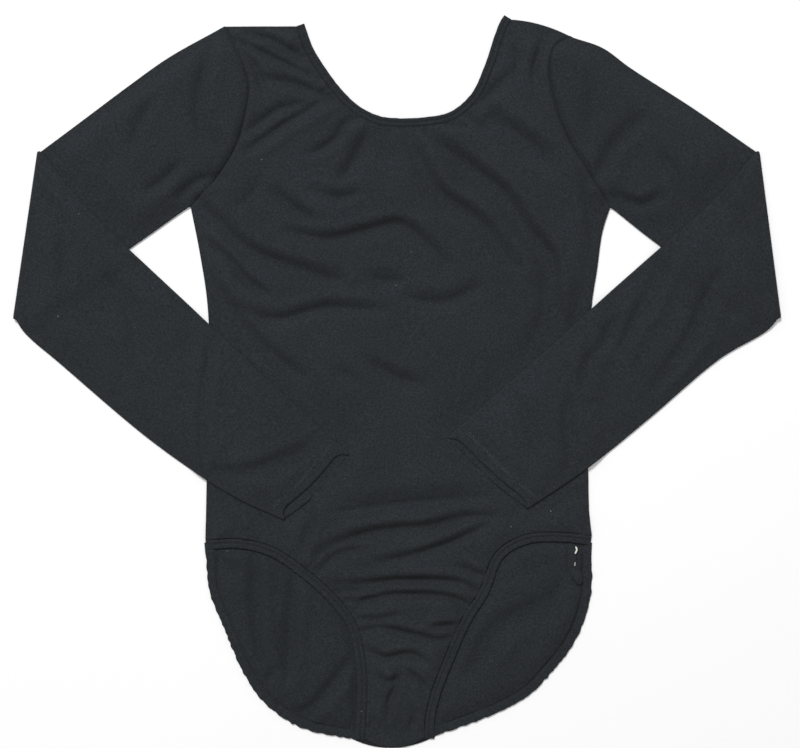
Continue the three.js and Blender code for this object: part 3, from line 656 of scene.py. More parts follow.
class BandSizes(NamedTuple):
    """Heights of the base and the wall, width, reach of each row of stitches, height of the ruffles, how
    far they move the outer edge, and how much longer the band is than the edge at its two ends."""

    base: float
    wall: float
    width: float
    rows: tuple
    ruffle: float
    edge: float
    longer: tuple = (0, 0)


NECK_SIZES = BandSizes(FRONT_BASE, BAND_WALL, NECK_BAND, (0.3, 4.4), 0.4, 0.15)
BACK_NECK_SIZES = BandSizes(0.0, CLOTH - 0.3, NECK_BAND, (), 0.0, 0.0)
LEG_SIZES = BandSizes(FRONT_BASE, BAND_WALL, LEG_BAND, (0.3, 4.6), 0.6, 0.35, (0.01, 1.2))
BACK_LEG_SIZES = BandSizes(0.0, BAND_WALL, LEG_BAND, (1.0,), 0.5, 0.85, (10, 5))
GROOVE_DEPTH, GROOVE_WIDTH = 0.85, 0.85
CROWN = 0.25  # a band is this much higher in its middle


def band_surface(points, outs, along, gathers, sizes, reach):
    """Plan points across a ruffled band, and how far the ruffles and the crown lift them."""
    across = np.clip((reach - BAND_NEAR) / (SEAM + sizes.width - BAND_NEAR), 0, 1)
    outer = smooth(across)
    flat = np.zeros(len(along))
    wave, quick = ((gathers.wave(a) if gathers else flat)[:, None] for a in (along, 1.7 * along + 13))
    moved = reach + sizes.edge * outer * (wave + 0.5 * quick)
    lift = sizes.ruffle * wave * mix(0.9, 1.2, outer) + 0.45 * sizes.ruffle * quick * outer
    return points[:, None] + outs[:, None] * moved[..., None], CROWN * np.sin(np.pi * across) + lift


def stacked(plan, height):
    """Corners of a mesh from a grid of plan points and their heights."""
    return np.concatenate([plan, height[..., None]], axis=-1).reshape(-1, 3)


def tube_faces(count, ring):
    """Faces of a tube of rings, closed at both ends."""
    ids = np.arange(count).reshape(-1, ring)
    beside = np.roll(ids, -1, axis=1)
    faces = np.stack([ids[:-1], ids[1:], beside[1:], beside[:-1]], axis=-1).reshape(-1, 4).tolist()
    return faces + [ids[0].tolist(), ids[-1][::-1].tolist()]


def make_band(name, points, outs, gathers, sizes, material):
    """An elastic band along a panel's edge: a low rounded section that the elastic ruffles, with a groove
    under each row of stitches. Gives the piece and its length."""
    if any(sizes.longer):
        first = points[:1] + unit(points[0] - points[1]) * sizes.longer[0]
        last = points[-1:] + unit(points[-1] - points[-2]) * sizes.longer[1]
        points = np.vstack([first, points, last])
        outs = np.vstack([outs[:1], outs, outs[-1:]])
    along = marks_of(points) - sizes.longer[0]
    near, far = BAND_NEAR, SEAM + sizes.width
    top = [(near + 0.5 + (far - near - 1.1) * t, 1.0) for t in np.linspace(0, 1, 20)]
    section = top[::-1] + [(near + 0.08, 0.8), (near, 0.5), (near + 0.3, 0.1)]
    section += [(near + 0.6 + (far - near - 1.4) * t, 0.0) for t in (0.05, 0.35, 0.65, 0.95)]
    section += [(far - 0.3, 0.12), (far, 0.42), (far - 0.14, 0.78)]
    reach, share = np.array(section).T
    plan, lift = band_surface(points, outs, along, gathers, sizes, reach)
    groove = sum(GROOVE_DEPTH * np.exp(-(((reach - row) / GROOVE_WIDTH) ** 2)) for row in sizes.rows)
    ends = (1 - smooth(np.minimum(along - along[0], along[-1] - along) / 8))[:, None]
    tops = share * (sizes.wall + lift - groove) * (1 - 0.35 * ends)
    height = sizes.base * (1 - 0.45 * ends) + np.where(share > 0, tops, 0)
    corners = stacked(plan, height)
    faces = tube_faces(len(corners), len(section))
    run = points[1] - points[0]
    if run[0] * outs[0][1] > run[1] * outs[0][0]:
        faces = [face[::-1] for face in faces]
    uv = np.column_stack([np.tile(reach, len(points)), np.repeat(along, len(section))])
    return make_piece(name, corners, faces, uv, material), float(along[-1])


def band_row(points, outs, gathers, sizes, row):
    """Path of a row of stitches on a band's top, a little below the smooth surface."""
    plan, lift = band_surface(points, outs, marks_of(points), gathers, sizes, np.array([row]))
    return np.column_stack([plan[:, 0], sizes.base + sizes.wall - 0.6 + lift[:, 0]])[2:-2]


def make_strip(name, rows, width, thick, above, material):
    """A short flat strip of cloth or tape with rounded ends and edges, lying above the back body."""
    line = Curve(rows)
    share = np.linspace(0, 1, max(8, int(line.length / 0.7)))
    points, out = line.at(share), left_of(line.run(share))
    angle = np.linspace(0, 2 * math.pi, 18, endpoint=False)
    side, up = (np.sign(turn) * np.abs(turn) ** 0.6 for turn in (np.cos(angle), np.sin(angle)))
    narrow = np.clip(1 - np.abs(2 * share - 1) ** 9, 0.12, 1) ** 0.5
    plan = points[:, None] + out[:, None] * (side * (width / 2 * narrow)[:, None])[..., None]
    base = back_top(plan.reshape(-1, 2)).reshape(plan.shape[:2]) + above
    height = base + thick / 2 * (1 + up * np.sqrt(narrow)[:, None])
    corners = stacked(plan, height)
    faces = [face[::-1] for face in tube_faces(len(corners), len(angle))]
    along = np.repeat(share * line.length, len(angle))
    uv = np.column_stack([np.tile(side * width / 2, len(points)), along])
    return make_piece(name, corners, faces, uv, material)


LINT_SPOTS = [
    [-122, 200], [-287, 151], [-306, 59], [103, -131], [139, -117], [-32, -298], [13, 117], [-1, 87],
    [-154, -153],
]


def make_lint(seed):
    """Stray fibres caught on the cloth, each a thin curved hair."""
    rng = np.random.default_rng(seed)
    corners, faces = [], []
    ring = np.radians([0, 90, 180, 270])
    for spot in LINT_SPOTS:
        angle = rng.uniform(0, 2 * math.pi)
        bend = rng.uniform(-1.4, 1.4)
        length = rng.uniform(0.9, 2.2)
        t = np.linspace(-0.5, 0.5, 6)
        way = np.stack([np.cos(angle + bend * t), np.sin(angle + bend * t)], axis=-1)
        xy = np.array(spot) + way * (t * length)[:, None]
        top = lint_height(xy) + 0.1
        side = left_of(way)
        radius = 0.16 * np.sqrt(np.clip(1 - (2 * t) ** 2, 0.05, 1))
        plan = xy[:, None] + side[:, None] * (radius[:, None] * np.cos(ring))[..., None]
        hair = stacked(plan, top[:, None] + radius[:, None] * np.sin(ring))
        tube = tube_faces(len(hair), len(ring))
        faces += [[corner + len(corners) for corner in face[::-1]] for face in tube]
        corners.extend(hair)
    material = plain_material("grey_lint", (0.35, 0.37, 0.36), 0.9, 500, 0.3)
    make_piece("lint", corners, faces, None, material)


def lint_height(xy):
    """Top of whichever layer a stray fibre lies on."""
    height = np.where(depth_inside(FRONT_OUTLINE, xy) > 0, front_top(xy), back_top(xy))
    for name, line in FOREARM_OUTLINES.items():
        on_arm = FOLD_HEIGHT + SEAM / 2 + 2 * CLOTH + SEAM + support(xy) + forearm_relief(name, xy)
        height = np.where(depth_inside(line, xy) > 0, on_arm, height)
    return height


SLEEVE_ACROSS = 56
UPPER_STEPS, TURN_STEPS, FORE_STEPS = 84, 9, 168
SLEEVE_EDGE = 2.0  # the two layers join in a rounded edge this deep
ARMHOLE_TUCK = 1.4  # the sleeve head goes this far under the body
HEM, HEM_EXTRA = 15.0, 0.35  # how deep the turned hem is, and how much it adds to the height
CUFF_CLOSED = 0.6  # the two layers lie this much closer together at the cuff
CUFF_FROM, LENS_FROM = 0.86, 0.9  # shares of the forearm from which the layers close and the mouth opens
HEAD_RUN = 0.06  # share of the upper arm over which the sleeve head rises out of its seam
HEM_ROWS = (11.2, 13.6)  # stitch rows, from the cuff's edge
# Shares of the cuff, from its under edge, along which each row's stitches lie, in a thread made lighter as
# a painted highlight
GLINT_THREAD_RUNS = {
    11.2: ((0.08, 0.3), (0.36, 0.62), (0.72, 0.9)),
    13.6: ((0.05, 0.22), (0.4, 0.68), (0.76, 0.94)),
}


class Sleeve:
    """A flattened tube from the armhole to the cuff, turned back about the fold line at the elbow."""

    def __init__(self, name):
        self.name = name
        self.half = half = SIDES[name]
        self.armhole = Curve(half["armhole"])
        self.top, self.under, self.upper, self.lower = (
            Curve(half[key]) for key in ("upper_top", "upper_under", "fore_upper", "fore_lower")
        )
        self.folds = np.array([half["upper_top"][-1], half["upper_under"][-1]], float)
        run = self.folds[1] - self.folds[0]
        self.outward = unit(np.array([1.0, -run[0] / run[1]]) * half["side"])
        self.stations = [("upper", k / UPPER_STEPS, -math.pi / 2) for k in range(UPPER_STEPS + 1)]
        self.stations += [("turn", 0, math.pi * (k / TURN_STEPS - 0.5)) for k in range(1, TURN_STEPS + 1)]
        self.stations += [("fore", s, math.pi / 2) for s in self.fore_shares()]

    def fore_shares(self):
        """Closer together at the hem, so that its step and its stitch rows show."""
        t = np.arange(1, FORE_STEPS + 1) / FORE_STEPS
        return t + 0.07 * np.sin(math.pi * t) * t

    def plan(self, kind, s, u):
        """Plan points across a station, from the sleeve's top edge at u = 0 to its under edge at u = 1."""
        u = np.asarray(u, float)[:, None]
        if kind == "upper":
            start, end = self.armhole.at(0.0), self.armhole.at(1.0)
            bow = self.armhole.at(u[:, 0]) - mix(start, end, u)
            xy = mix(self.top.at(s), self.under.at(s), u) + bow * (1 - s) ** 2
            if s == 0:
                xy = xy - left_of(self.armhole.run(u[:, 0])) * ARMHOLE_TUCK * self.half["side"]
            return xy
        if kind == "turn":
            return mix(self.folds[0], self.folds[1], u)
        run = self.upper.run(s)
        drop = self.half["cuff_drop"] * 4 * u * (1 - u) * s * s
        return mix(self.upper.at(s), self.lower.at(s), u) + run * drop

    def ring(self, station, inner):
        """Plan points, heights and girth of one ring: the layer nearer the fold line, an edge, the other
        layer and the other edge."""
        kind, s, angle = station
        wall = looks().wall / MM
        low, high = SEAM / 2, SEAM / 2 + 2 * CLOTH + SEAM
        if kind == "fore":
            high -= CUFF_CLOSED * float(smooth((s - CUFF_FROM) / 0.1))
        middle = (low + high) / 2
        half_gap = (high - low) / 2 - (wall if inner else 0)
        edge_in = wall if inner else 0
        edge_run = SLEEVE_EDGE - (wall * 0.6 if inner else 0)
        if kind == "upper":
            edge_run *= float(smooth(s / HEAD_RUN))
        shares = spread(SLEEVE_ACROSS, 0.6)
        bend = np.radians([-62, -32, 0, 32, 62])
        u = np.concatenate([shares, np.ones(5), shares[::-1], np.zeros(5)])
        flat = np.ones(len(shares))
        layer = middle + half_gap * np.concatenate([-flat, np.sin(bend), flat, np.sin(-bend)])
        pull = edge_in + edge_run * np.concatenate([flat, 1 - np.cos(bend)] * 2)
        xy = self.plan(kind, s, u)
        ends = self.plan(kind, s, [0.0, 1.0])
        width = np.linalg.norm(ends[1] - ends[0])
        way = (ends[1] - ends[0]) / width
        xy = xy + way * (pull * (1 - 2 * u))[:, None]
        if kind == "fore":
            rise = smooth((layer - middle) / max(half_gap, 0.01))
            lens = self.half["cuff_lens"] * float(smooth((s - LENS_FROM) / 0.1))
            xy = xy - self.upper.run(s) * (rise * lens * (1 - (2 * u - 1) ** 10))[:, None]
            height = FOLD_HEIGHT + layer + support(xy) + forearm_relief(self.name, xy) * rise
            left_over = (1 - s) * self.upper.length
            hem = HEM_EXTRA * float(smooth((HEM + 0.6 - left_over) / 1.2))
            rows = sum(0.3 * math.exp(-(((left_over - row) / 0.8) ** 2)) for row in HEM_ROWS)
            if not inner:
                height = height + (hem - rows) * rise
        else:
            rise = smooth((middle - layer) / max(half_gap, 0.01))
            height = FOLD_HEIGHT + layer * math.sin(angle)
            if kind == "upper" and s < 1:
                height = height + front_relief(xy) * rise * float(smooth((1 - s) / HEAD_RUN))
                height = height - 1.2 * (1 - float(smooth(s * self.top.length / SIDE_ROLL))) ** 2 * rise
            xy = xy + self.outward * (layer * math.cos(angle))[:, None]
        girth = np.where(layer > middle, width + width * (1 - u), width * u)
        return xy, height, girth

    def rings(self, inner):
        corners, uv, travelled, last = [], [], 0.0, None
        for station in self.stations:
            xy, height, girth = self.ring(station, inner)
            centre = np.append(xy.mean(0), height.mean())
            if last is not None:
                travelled += max(np.linalg.norm(centre - last), 0.4)
            last = centre
            corners.append(np.column_stack([xy, height]))
            uv.append(np.column_stack([girth, np.full(len(girth), travelled)]))
        return np.vstack(corners), np.vstack(uv)

    def make(self, piece_name, material):
        outer, uv_outer = self.rings(False)
        inner, uv_inner = self.rings(True)
        ring = len(outer) // len(self.stations)
        ids = np.arange(len(outer)).reshape(-1, ring)
        nxt = np.roll(ids, -1, axis=1)
        skin = np.stack([ids[:-1], nxt[:-1], nxt[1:], ids[1:]], axis=-1).reshape(-1, 4)
        count = len(outer)
        first = np.stack([nxt[0], ids[0], ids[0] + count, nxt[0] + count], axis=-1)
        last = np.stack([ids[-1], nxt[-1], nxt[-1] + count, ids[-1] + count], axis=-1)
        faces = np.vstack([skin, skin[:, ::-1] + count, first, last])
        if self.half["side"] < 0:
            faces = faces[:, ::-1]
        corners = np.vstack([outer, inner])
        return make_piece(piece_name, corners, faces, np.vstack([uv_outer, uv_inner]), material)

    def hem_rows(self):
        """Paths of the stitch rows on the cuff's upper layer."""
        paths = []
        for row in HEM_ROWS:
            s = 1 - row / self.upper.length
            xy, height, _ = self.ring(("fore", s, math.pi / 2), False)
            on_top = slice(SLEEVE_ACROSS + 8, 2 * SLEEVE_ACROSS + 5)
            whole = np.column_stack([xy, height + 0.12])[on_top]
            for first, last in GLINT_THREAD_RUNS[row]:
                paths.append(whole[int(first * len(whole)) : int(last * len(whole))])
        return paths


MOTTLE = 0.46  # how far the nap makes the colour lighter and darker
LINT_COLOUR = (0.10, 0.105, 0.11, 1)


def set_inputs(tree, node, inputs):
    """Sets a node's inputs, and links those that are given a socket."""
    for key, value in inputs.items():
        if isinstance(value, bpy.types.NodeSocket):
            tree.links.new(value, node.inputs[key])
        else:
            node.inputs[key].default_value = value


def add_node(tree, kind, inputs=None, **values):
    node = tree.nodes.new(kind)
    for key, value in values.items():
        setattr(node, key, value)
    set_inputs(tree, node, inputs or {})
    return node


def maths(tree, operation, *values):
    return add_node(tree, "ShaderNodeMath", dict(enumerate(values)), operation=operation).outputs[0]


def new_group(name, inputs, outputs):
    """A shader node group with its inputs and its outputs, which are numbers."""
    group = bpy.data.node_groups.new(name, "ShaderNodeTree")
    for label, kind, value in inputs:
        socket = group.interface.new_socket(label, in_out="INPUT", socket_type=kind)
        if value is not None:
            socket.default_value = value
    for label in outputs:
        group.interface.new_socket(label, in_out="OUTPUT", socket_type="NodeSocketFloat")
    return group, group.nodes.new("NodeGroupInput").outputs, group.nodes.new("NodeGroupOutput").inputs


def knit_group():
    """Rows of knitted loops: height of the yarn, and a mask of the gaps between the loops that the cloth
    uses for painted shade there.
    """
    if "knit_loops" in bpy.data.node_groups:
        return bpy.data.node_groups["knit_loops"]
    inputs = [("Cloth map", "NodeSocketVector", None), ("Loop width", "NodeSocketFloat", 0.0006)]
    group, start, end = new_group("knit_loops", inputs, ("Height", "Gap shade"))

    def do(operation, *values):
        return maths(group, operation, *values)

    split = add_node(group, "ShaderNodeSeparateXYZ", {0: start["Cloth map"]}).outputs
    width = start["Loop width"]
    along = do("DIVIDE", split["Y"], do("MULTIPLY", width, 0.8))
    column = do("ABSOLUTE", do("SUBTRACT", do("FRACT", do("DIVIDE", split["X"], width)), 0.5))
    leg = do("SINE", do("MULTIPLY", do("ADD", along, column), 2 * math.pi))
    body = do("SINE", do("MULTIPLY", column, 2 * math.pi))
    yarn = do("MULTIPLY", body, do("ADD", do("MULTIPLY", leg, 0.35), 0.65))
    group.links.new(yarn, end["Height"])
    group.links.new(do("SUBTRACT", 1.0, yarn), end["Gap shade"])
    return group


def nap_group():
    """Short surface fibres: a soft mottle of the colour, broad wear, and small specks of lint."""
    if "cloth_nap" in bpy.data.node_groups:
        return bpy.data.node_groups["cloth_nap"]
    inputs = [("Place", "NodeSocketVector", None), ("Mottle size", "NodeSocketFloat", 0.0017)]
    group, start, end = new_group("cloth_nap", inputs, ("Mottle", "Specks", "Wear"))
    place = start["Place"]
    fine = {"Scale": maths(group, "DIVIDE", 1.0, start["Mottle size"]), "Detail": 3, "Roughness": 0.7}
    for label, values in (("Mottle", fine), ("Wear", {"Scale": 14, "Detail": 4})):
        noise = add_node(group, "ShaderNodeTexNoise", {"Vector": place, **values}, noise_dimensions="3D")
        group.links.new(noise.outputs["Fac"], end[label])
    values = {"Vector": place, "Scale": 190}
    cells = add_node(group, "ShaderNodeTexVoronoi", values, voronoi_dimensions="3D").outputs
    near = maths(group, "LESS_THAN", cells["Distance"], 0.09)
    split = add_node(group, "ShaderNodeSeparateColor", {0: cells["Color"]})
    few = maths(group, "GREATER_THAN", split.outputs[0], 0.975)
    group.links.new(maths(group, "MULTIPLY", near, few), end["Specks"])
    return group


def ramp(tree, factor, low, high, at=(0.3, 0.7)):
    """A number that goes from low to high while the factor goes between the two places."""
    names = ("Value", "From Min", "From Max", "To Min", "To Max")
    values = dict(zip(names, (factor, *at, low, high)))
    return add_node(tree, "ShaderNodeMapRange", values).outputs["Result"]


def new_material(name):
    material = bpy.data.materials.new(name)
    material.use_nodes = True
    tree = material.node_tree
    return material, tree, tree.nodes.new("ShaderNodeTexCoord").outputs


def tinted(tree, colour, tone):
    return add_node(tree, "ShaderNodeVectorMath", {0: colour, "Scale": tone}, operation="SCALE").outputs[0]


def cloth_material(name, colour, rough, loop, bump):
    """Matt black jersey: knitted loops with painted shade in their gaps and painted light on the yarn,
    mottled nap, a little lint, and a faint haze at grazing angles.
    """
    if name in bpy.data.materials:
        return bpy.data.materials[name]
    material, tree, place = new_material(name)
    values = {"Cloth map": place["UV"], "Loop width": loop}
    knit = add_node(tree, "ShaderNodeGroup", values, node_tree=knit_group()).outputs
    nap = add_node(tree, "ShaderNodeGroup", {"Place": place["Object"]}, node_tree=nap_group()).outputs
    tone = ramp(tree, nap["Mottle"], 1 - MOTTLE, 1 + MOTTLE)
    # painted light and shade of the loops: the colour is lighter on the yarn and darker in the gaps between
    # them
    for part in (ramp(tree, nap["Wear"], 0.94, 1.06), ramp(tree, knit["Gap shade"], 1.06, 0.82, (0.0, 1.0))):
        tone = maths(tree, "MULTIPLY", tone, part)
    specks = maths(tree, "MULTIPLY", nap["Specks"], 0.5)
    values = {"Factor": specks, 6: tinted(tree, colour, tone), 7: LINT_COLOUR}
    lint = add_node(tree, "ShaderNodeMix", values, data_type="RGBA")
    height = maths(tree, "ADD", knit["Height"], maths(tree, "MULTIPLY", nap["Mottle"], 0.9))
    values = {"Strength": bump, "Distance": 0.0002, "Height": height}
    relief = add_node(tree, "ShaderNodeBump", values)
    values = {
        "Base Color": lint.outputs[2],
        "Roughness": ramp(tree, nap["Mottle"], rough - 0.04, rough + 0.04),
        "Normal": relief.outputs["Normal"],
        "Sheen Weight": 0.03,
        "Sheen Roughness": 0.6,
        "Specular IOR Level": 0.12,
    }
    set_inputs(tree, tree.nodes["Principled BSDF"], values)
    return material


def plain_material(name, colour, rough, scale, change):
    """A thread, tape, lint or floor finish: one colour with a fine change of tone."""
    if name in bpy.data.materials:
        return bpy.data.materials[name]
    material, tree, place = new_material(name)
    values = {"Vector": place["Object"], "Scale": scale}
    noise = add_node(tree, "ShaderNodeTexNoise", values, noise_dimensions="3D")
    tone = ramp(tree, noise.outputs["Fac"], 1 - change, 1 + change)
    values = {"Base Color": tinted(tree, colour, tone), "Roughness": rough, "Specular IOR Level": 0.25}
    set_inputs(tree, tree.nodes["Principled BSDF"], values)
    return material


def jersey():
    return cloth_material("black_jersey", looks().colour, 0.92, looks().loop_width, 0.35)


def wrong_side():
    cloth = looks()
    return cloth_material("black_jersey_inside", cloth.inside_colour, 0.95, cloth.loop_width * 1.2, 0.5)


def band_cloth():
    return cloth_material("elastic_band_cloth", looks().band_colour, 0.92, looks().loop_width, 0.4)


STITCH_SIZES = {"Pitch": 0.003, "Stitch length": 0.0022, "Thread width": 0.0006, "Lean": 0.16}


def stitch_tree(material, name):
    """Geometry nodes that lay short thread loops along paths."""
    tree = bpy.data.node_groups.new(name, "GeometryNodeTree")
    face = tree.interface
    face.new_socket("Paths", in_out="INPUT", socket_type="NodeSocketGeometry")
    for label, value in STITCH_SIZES.items():
        face.new_socket(label, in_out="INPUT", socket_type="NodeSocketFloat").default_value = value
    face.new_socket("Stitches", in_out="OUTPUT", socket_type="NodeSocketGeometry")

    def add(kind, inputs=None, **values):
        return add_node(tree, kind, inputs, **values).outputs

    given = add("NodeGroupInput")
    width, lean = given["Thread width"], given["Lean"]
    curve = add("GeometryNodeMeshToCurve", {"Mesh": given["Paths"]})[0]
    points = add("GeometryNodeResampleCurve", {"Curve": curve, "Length": given["Pitch"]}, mode="LENGTH")
    thread = add("GeometryNodeMeshUVSphere", {"Segments": 6, "Rings": 4, "Radius": 0.5})
    size = add("ShaderNodeCombineXYZ", {"X": given["Stitch length"], "Y": width, "Z": width})
    tangent = add("GeometryNodeInputTangent")[0]
    turn = add("FunctionNodeAlignRotationToVector", {"Vector": tangent}, axis="X")
    other = add("ShaderNodeMath", {0: lean, 1: -1}, operation="MULTIPLY")[0]
    angle = add("FunctionNodeRandomValue", {2: other, 3: lean, "Seed": 4}, data_type="FLOAT")[1]
    spin = add("FunctionNodeEulerToRotation", {"Euler": add("ShaderNodeCombineXYZ", {"Z": angle})[0]})
    values = {"Rotation": turn["Rotation"], "Rotate By": spin["Rotation"]}
    both = add("FunctionNodeRotateRotation", values, rotation_space="LOCAL")[0]
    values = {"Points": points[0], "Instance": thread["Mesh"], "Rotation": both, "Scale": size[0]}
    place = add("GeometryNodeInstanceOnPoints", values)[0]
    real = add("GeometryNodeRealizeInstances", {"Geometry": place})[0]
    finish = add("GeometryNodeSetMaterial", {"Geometry": real, "Material": material})[0]
    add("NodeGroupOutput", {"Stitches": finish})
    return tree


def make_stitches(name, paths, length, pitch, thread="black_thread"):
    """Rows of stitches along paths in millimetres, as one plain mesh riding on the garment."""
    # the cuff thread's colour is lighter as a painted highlight
    colour = looks().thread_colour if thread == "black_thread" else looks().cuff_glint_thread_colour
    material = plain_material(thread, colour, 0.6, 900, 0.5)
    tree = bpy.data.node_groups.get(f"{thread}_rows") or stitch_tree(material, f"{thread}_rows")
    edges, count = [], 0
    for path in paths:
        edges += [(count + k, count + k + 1) for k in range(len(path) - 1)]
        count += len(path)
    mesh = bpy.data.meshes.new(name + "_paths")
    mesh.from_pydata((np.vstack(paths) * MM).tolist(), edges, [])
    piece = new_object(name, mesh)
    modifier = piece.modifiers.new("stitches", "NODES")
    modifier.node_group = tree
    values = {**STITCH_SIZES, "Pitch": pitch, "Stitch length": length, "Thread width": looks().thread_width}
    for item in tree.interface.items_tree:
        if item.item_type == "SOCKET" and item.in_out == "INPUT" and item.name in values:
            modifier[item.identifier] = values[item.name]
    evaluated = piece.evaluated_get(bpy.context.evaluated_depsgraph_get())
    made = bpy.data.meshes.new_from_object(evaluated)
    require(len(made.polygons), f"{name} has no stitches")
    piece.modifiers.remove(modifier)
    piece.data = made
    made.name = name
    if not made.materials:
        made.materials.append(material)
    made.polygons.foreach_set("use_smooth", [True] * len(made.polygons))
    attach(piece, "root")


def length_setting(name, description, default, low, high):
    return FloatProperty(
        name=name, description=description, default=default, min=low, max=high, subtype="DISTANCE",
        unit="LENGTH",
    )


def share_setting(name, description, default, high):
    return FloatProperty(
        name=name, description=description, default=default, min=0, max=high, subtype="FACTOR"
    )


def power_setting(name, description, default, high):
    return FloatProperty(
        name=name, description=description, default=default, min=0, max=high, subtype="POWER", unit="POWER"
    )


def colour_setting(name, description, default):
    return FloatVectorProperty(
        name=name, description=description, default=default, min=0, max=1, subtype="COLOR"
    )


class LeotardCloth(bpy.types.PropertyGroup):
    wall: length_setting("Cloth thickness", "Wall of one layer of jersey", 0.0009, 0.0004, 0.0012)
    crease_strength: share_setting("Creases", "How deep the listed creases lie", 2.3, 3)
    gather_strength: share_setting("Gathers", "How high the cloth ruffles beside its elastic", 1.0, 2)
    crumple: length_setting("Crumple", "Height of the soft waves all over the cloth", 0.0005, 0, 0.001)
    loop_width: length_setting("Loop width", "Width of one knitted loop", 0.0007, 0.0003, 0.002)
    thread_width: length_setting("Thread", "Thickness of the sewing thread", 0.0006, 0.0002, 0.001)
    colour: colour_setting("Jersey", "Colour of the right side", (0.0220, 0.0252, 0.0290))
    inside_colour: colour_setting("Wrong side", "Colour of the back's inside", (0.0215, 0.0247, 0.0285))
    band_colour: colour_setting("Bands", "Colour of the elastic bands", (0.0212, 0.0243, 0.0278))
    thread_colour: colour_setting("Thread colour", "Colour of the sewing thread", (0.0150, 0.0170, 0.0190))
    # the cuff thread is lighter than the cloth as a painted highlight on its stitches
    cuff_glint_thread_colour: colour_setting("Cuff thread", "Thread at the cuffs, lighter as a painted highlight", (0.085, 0.092, 0.094))


class LeotardStage(bpy.types.PropertyGroup):
    distance: length_setting("Camera height", "Camera above the surface", 1.6, 0.8, 4)
    frame_width: length_setting("Frame width", "Width of the surface that shows", 0.7248, 0.5, 2)
    key: power_setting("Key light", "Power of the light above the neck", 240, 900)
    fill: power_setting("Overhead light", "Power of the wide light above the garment", 12, 200)
    room: share_setting("Room light", "Strength of the even light all round", 0.37, 2)
    floor: colour_setting("Floor", "Colour of the surface", (0.94, 0.94, 0.94))
    seed: IntProperty(name="Lint seed", description="Where the stray fibres fall", default=3, min=0)


FLOOR_HALF, FLOOR_AT = 6.0, -0.0002
PHOTO_MIDDLE = (0.0027, 0.0068)  # place on the surface under the middle of the picture
BAND_FLAT = 0.011  # width that shows on a finished band laid out flat


def declare(nodes):
    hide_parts(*nodes)


class LEOTARD_OT_stage(bpy.types.Operator):
    """Makes the pale floor, the soft lights and the camera straight above"""

    bl_idname = "leotard.stage"
    bl_label = "Stage"

    def execute(self, context):
        settings = context.scene.leotard_stage
        mesh = bpy.data.meshes.new("floor")
        signs = ((-1, -1), (1, -1), (1, 1), (-1, 1))
        corners = [(x * FLOOR_HALF, y * FLOOR_HALF, FLOOR_AT) for x, y in signs]
        mesh.from_pydata(corners, [], [(0, 1, 2, 3)])
        mesh.materials.append(plain_material("pale_floor", settings.floor, 0.8, 3, 0.004))
        new_object("floor", mesh)
        camera = bpy.data.cameras.new("camera")
        camera.sensor_width = 36
        camera.lens = camera.sensor_width * settings.distance / settings.frame_width
        camera.clip_end = 50
        holder = new_object("camera", camera)
        holder.location = (*PHOTO_MIDDLE, settings.distance)
        context.scene.camera = holder
        for name, power, width, place in (
            ("overhead_light", settings.fill, 1.6, (0.0, 0.0, 2.6)),
            ("key_light", settings.key, 1.5, (-1.3, 3.3, 4.6)),
        ):
            light = bpy.data.lights.new(name, "AREA")
            light.shape = "DISK"
            light.size = width
            light.energy = power
            lamp = new_object(name, light)
            lamp.location = place
            lamp.rotation_euler = (-Vector(place)).to_track_quat("-Z", "Y").to_euler()
        world = bpy.data.worlds.new("soft_room")
        world.use_nodes = True
        values = {"Color": (1, 1, 1, 1), "Strength": settings.room}
        set_inputs(world.node_tree, world.node_tree.nodes["Background"], values)
        context.scene.world = world
        context.scene.view_settings.view_transform = "Standard"
        return {"FINISHED"}


class LEOTARD_OT_back_body(bpy.types.Operator):
    """Makes the back body, whose wrong side shows through the leg openings"""

    bl_idname = "leotard.back_body"
    bl_label = "Back body"

    def execute(self, context):
        piece = make_panel("back_body", BACK_STEPS, 56, False, back_top, wrong_side())
        declare(["back_panel"])
        return {"FINISHED"}


class LEOTARD_OT_front_body(bpy.types.Operator):
    """Makes the front body with its creases and its gathers"""

    bl_idname = "leotard.front_body"
    bl_label = "Front body"

    def execute(self, context):
        piece = make_panel("front_body", FRONT_STEPS, 84, True, panel_top, jersey())
        declare(["front_panel"])
        return {"FINISHED"}


class LEOTARD_OT_sleeves(bpy.types.Operator):
    """Makes both sleeves, folded back at the elbow"""

    bl_idname = "leotard.sleeves"
    bl_label = "Sleeves"

    def execute(self, context):
        for name in SIDES:
            piece = Sleeve(name).make(f"{name}_arm", jersey())
            nodes, size = [f"{name}_sleeve"], (0.34, 0.54)
            declare(nodes)
        return {"FINISHED"}


class LEOTARD_OT_neck_binding(bpy.types.Operator):
    """Makes the elastic binding round the neck"""

    bl_idname = "leotard.neck_binding"
    bl_label = "Neck binding"

    def execute(self, context):
        for name, front, sizes, gathers in (
            ("front", True, NECK_SIZES, NECK_GATHERS),
            ("back", False, BACK_NECK_SIZES, None),
        ):
            edge = neck_line(BAND_STEPS, front)
            piece, length = make_band(f"neck_binding_{name}", *edge, gathers, sizes, band_cloth())
            declare([f"neck_band_{name}"])
        return {"FINISHED"}


class LEOTARD_OT_leg_casings(bpy.types.Operator):
    """Makes the elastic casings round both leg openings"""

    bl_idname = "leotard.leg_casings"
    bl_label = "Leg casings"

    def execute(self, context):
        for name in SIDES:
            for where, front, sizes, gathers in (
                ("front", True, LEG_SIZES, LEG_GATHERS[name]),
                ("back", False, BACK_LEG_SIZES, BACK_GATHERS[name]),
            ):
                edge = half_edges(name, BAND_STEPS, front)[1]
                piece_name = f"leg_casing_{where}_{name}"
                piece, length = make_band(piece_name, *edge, gathers, sizes, band_cloth())
                nodes, flat = [f"leg_band_{where}_{name}"], (BAND_FLAT, round(length * MM, 3))
                declare(nodes)
        return {"FINISHED"}


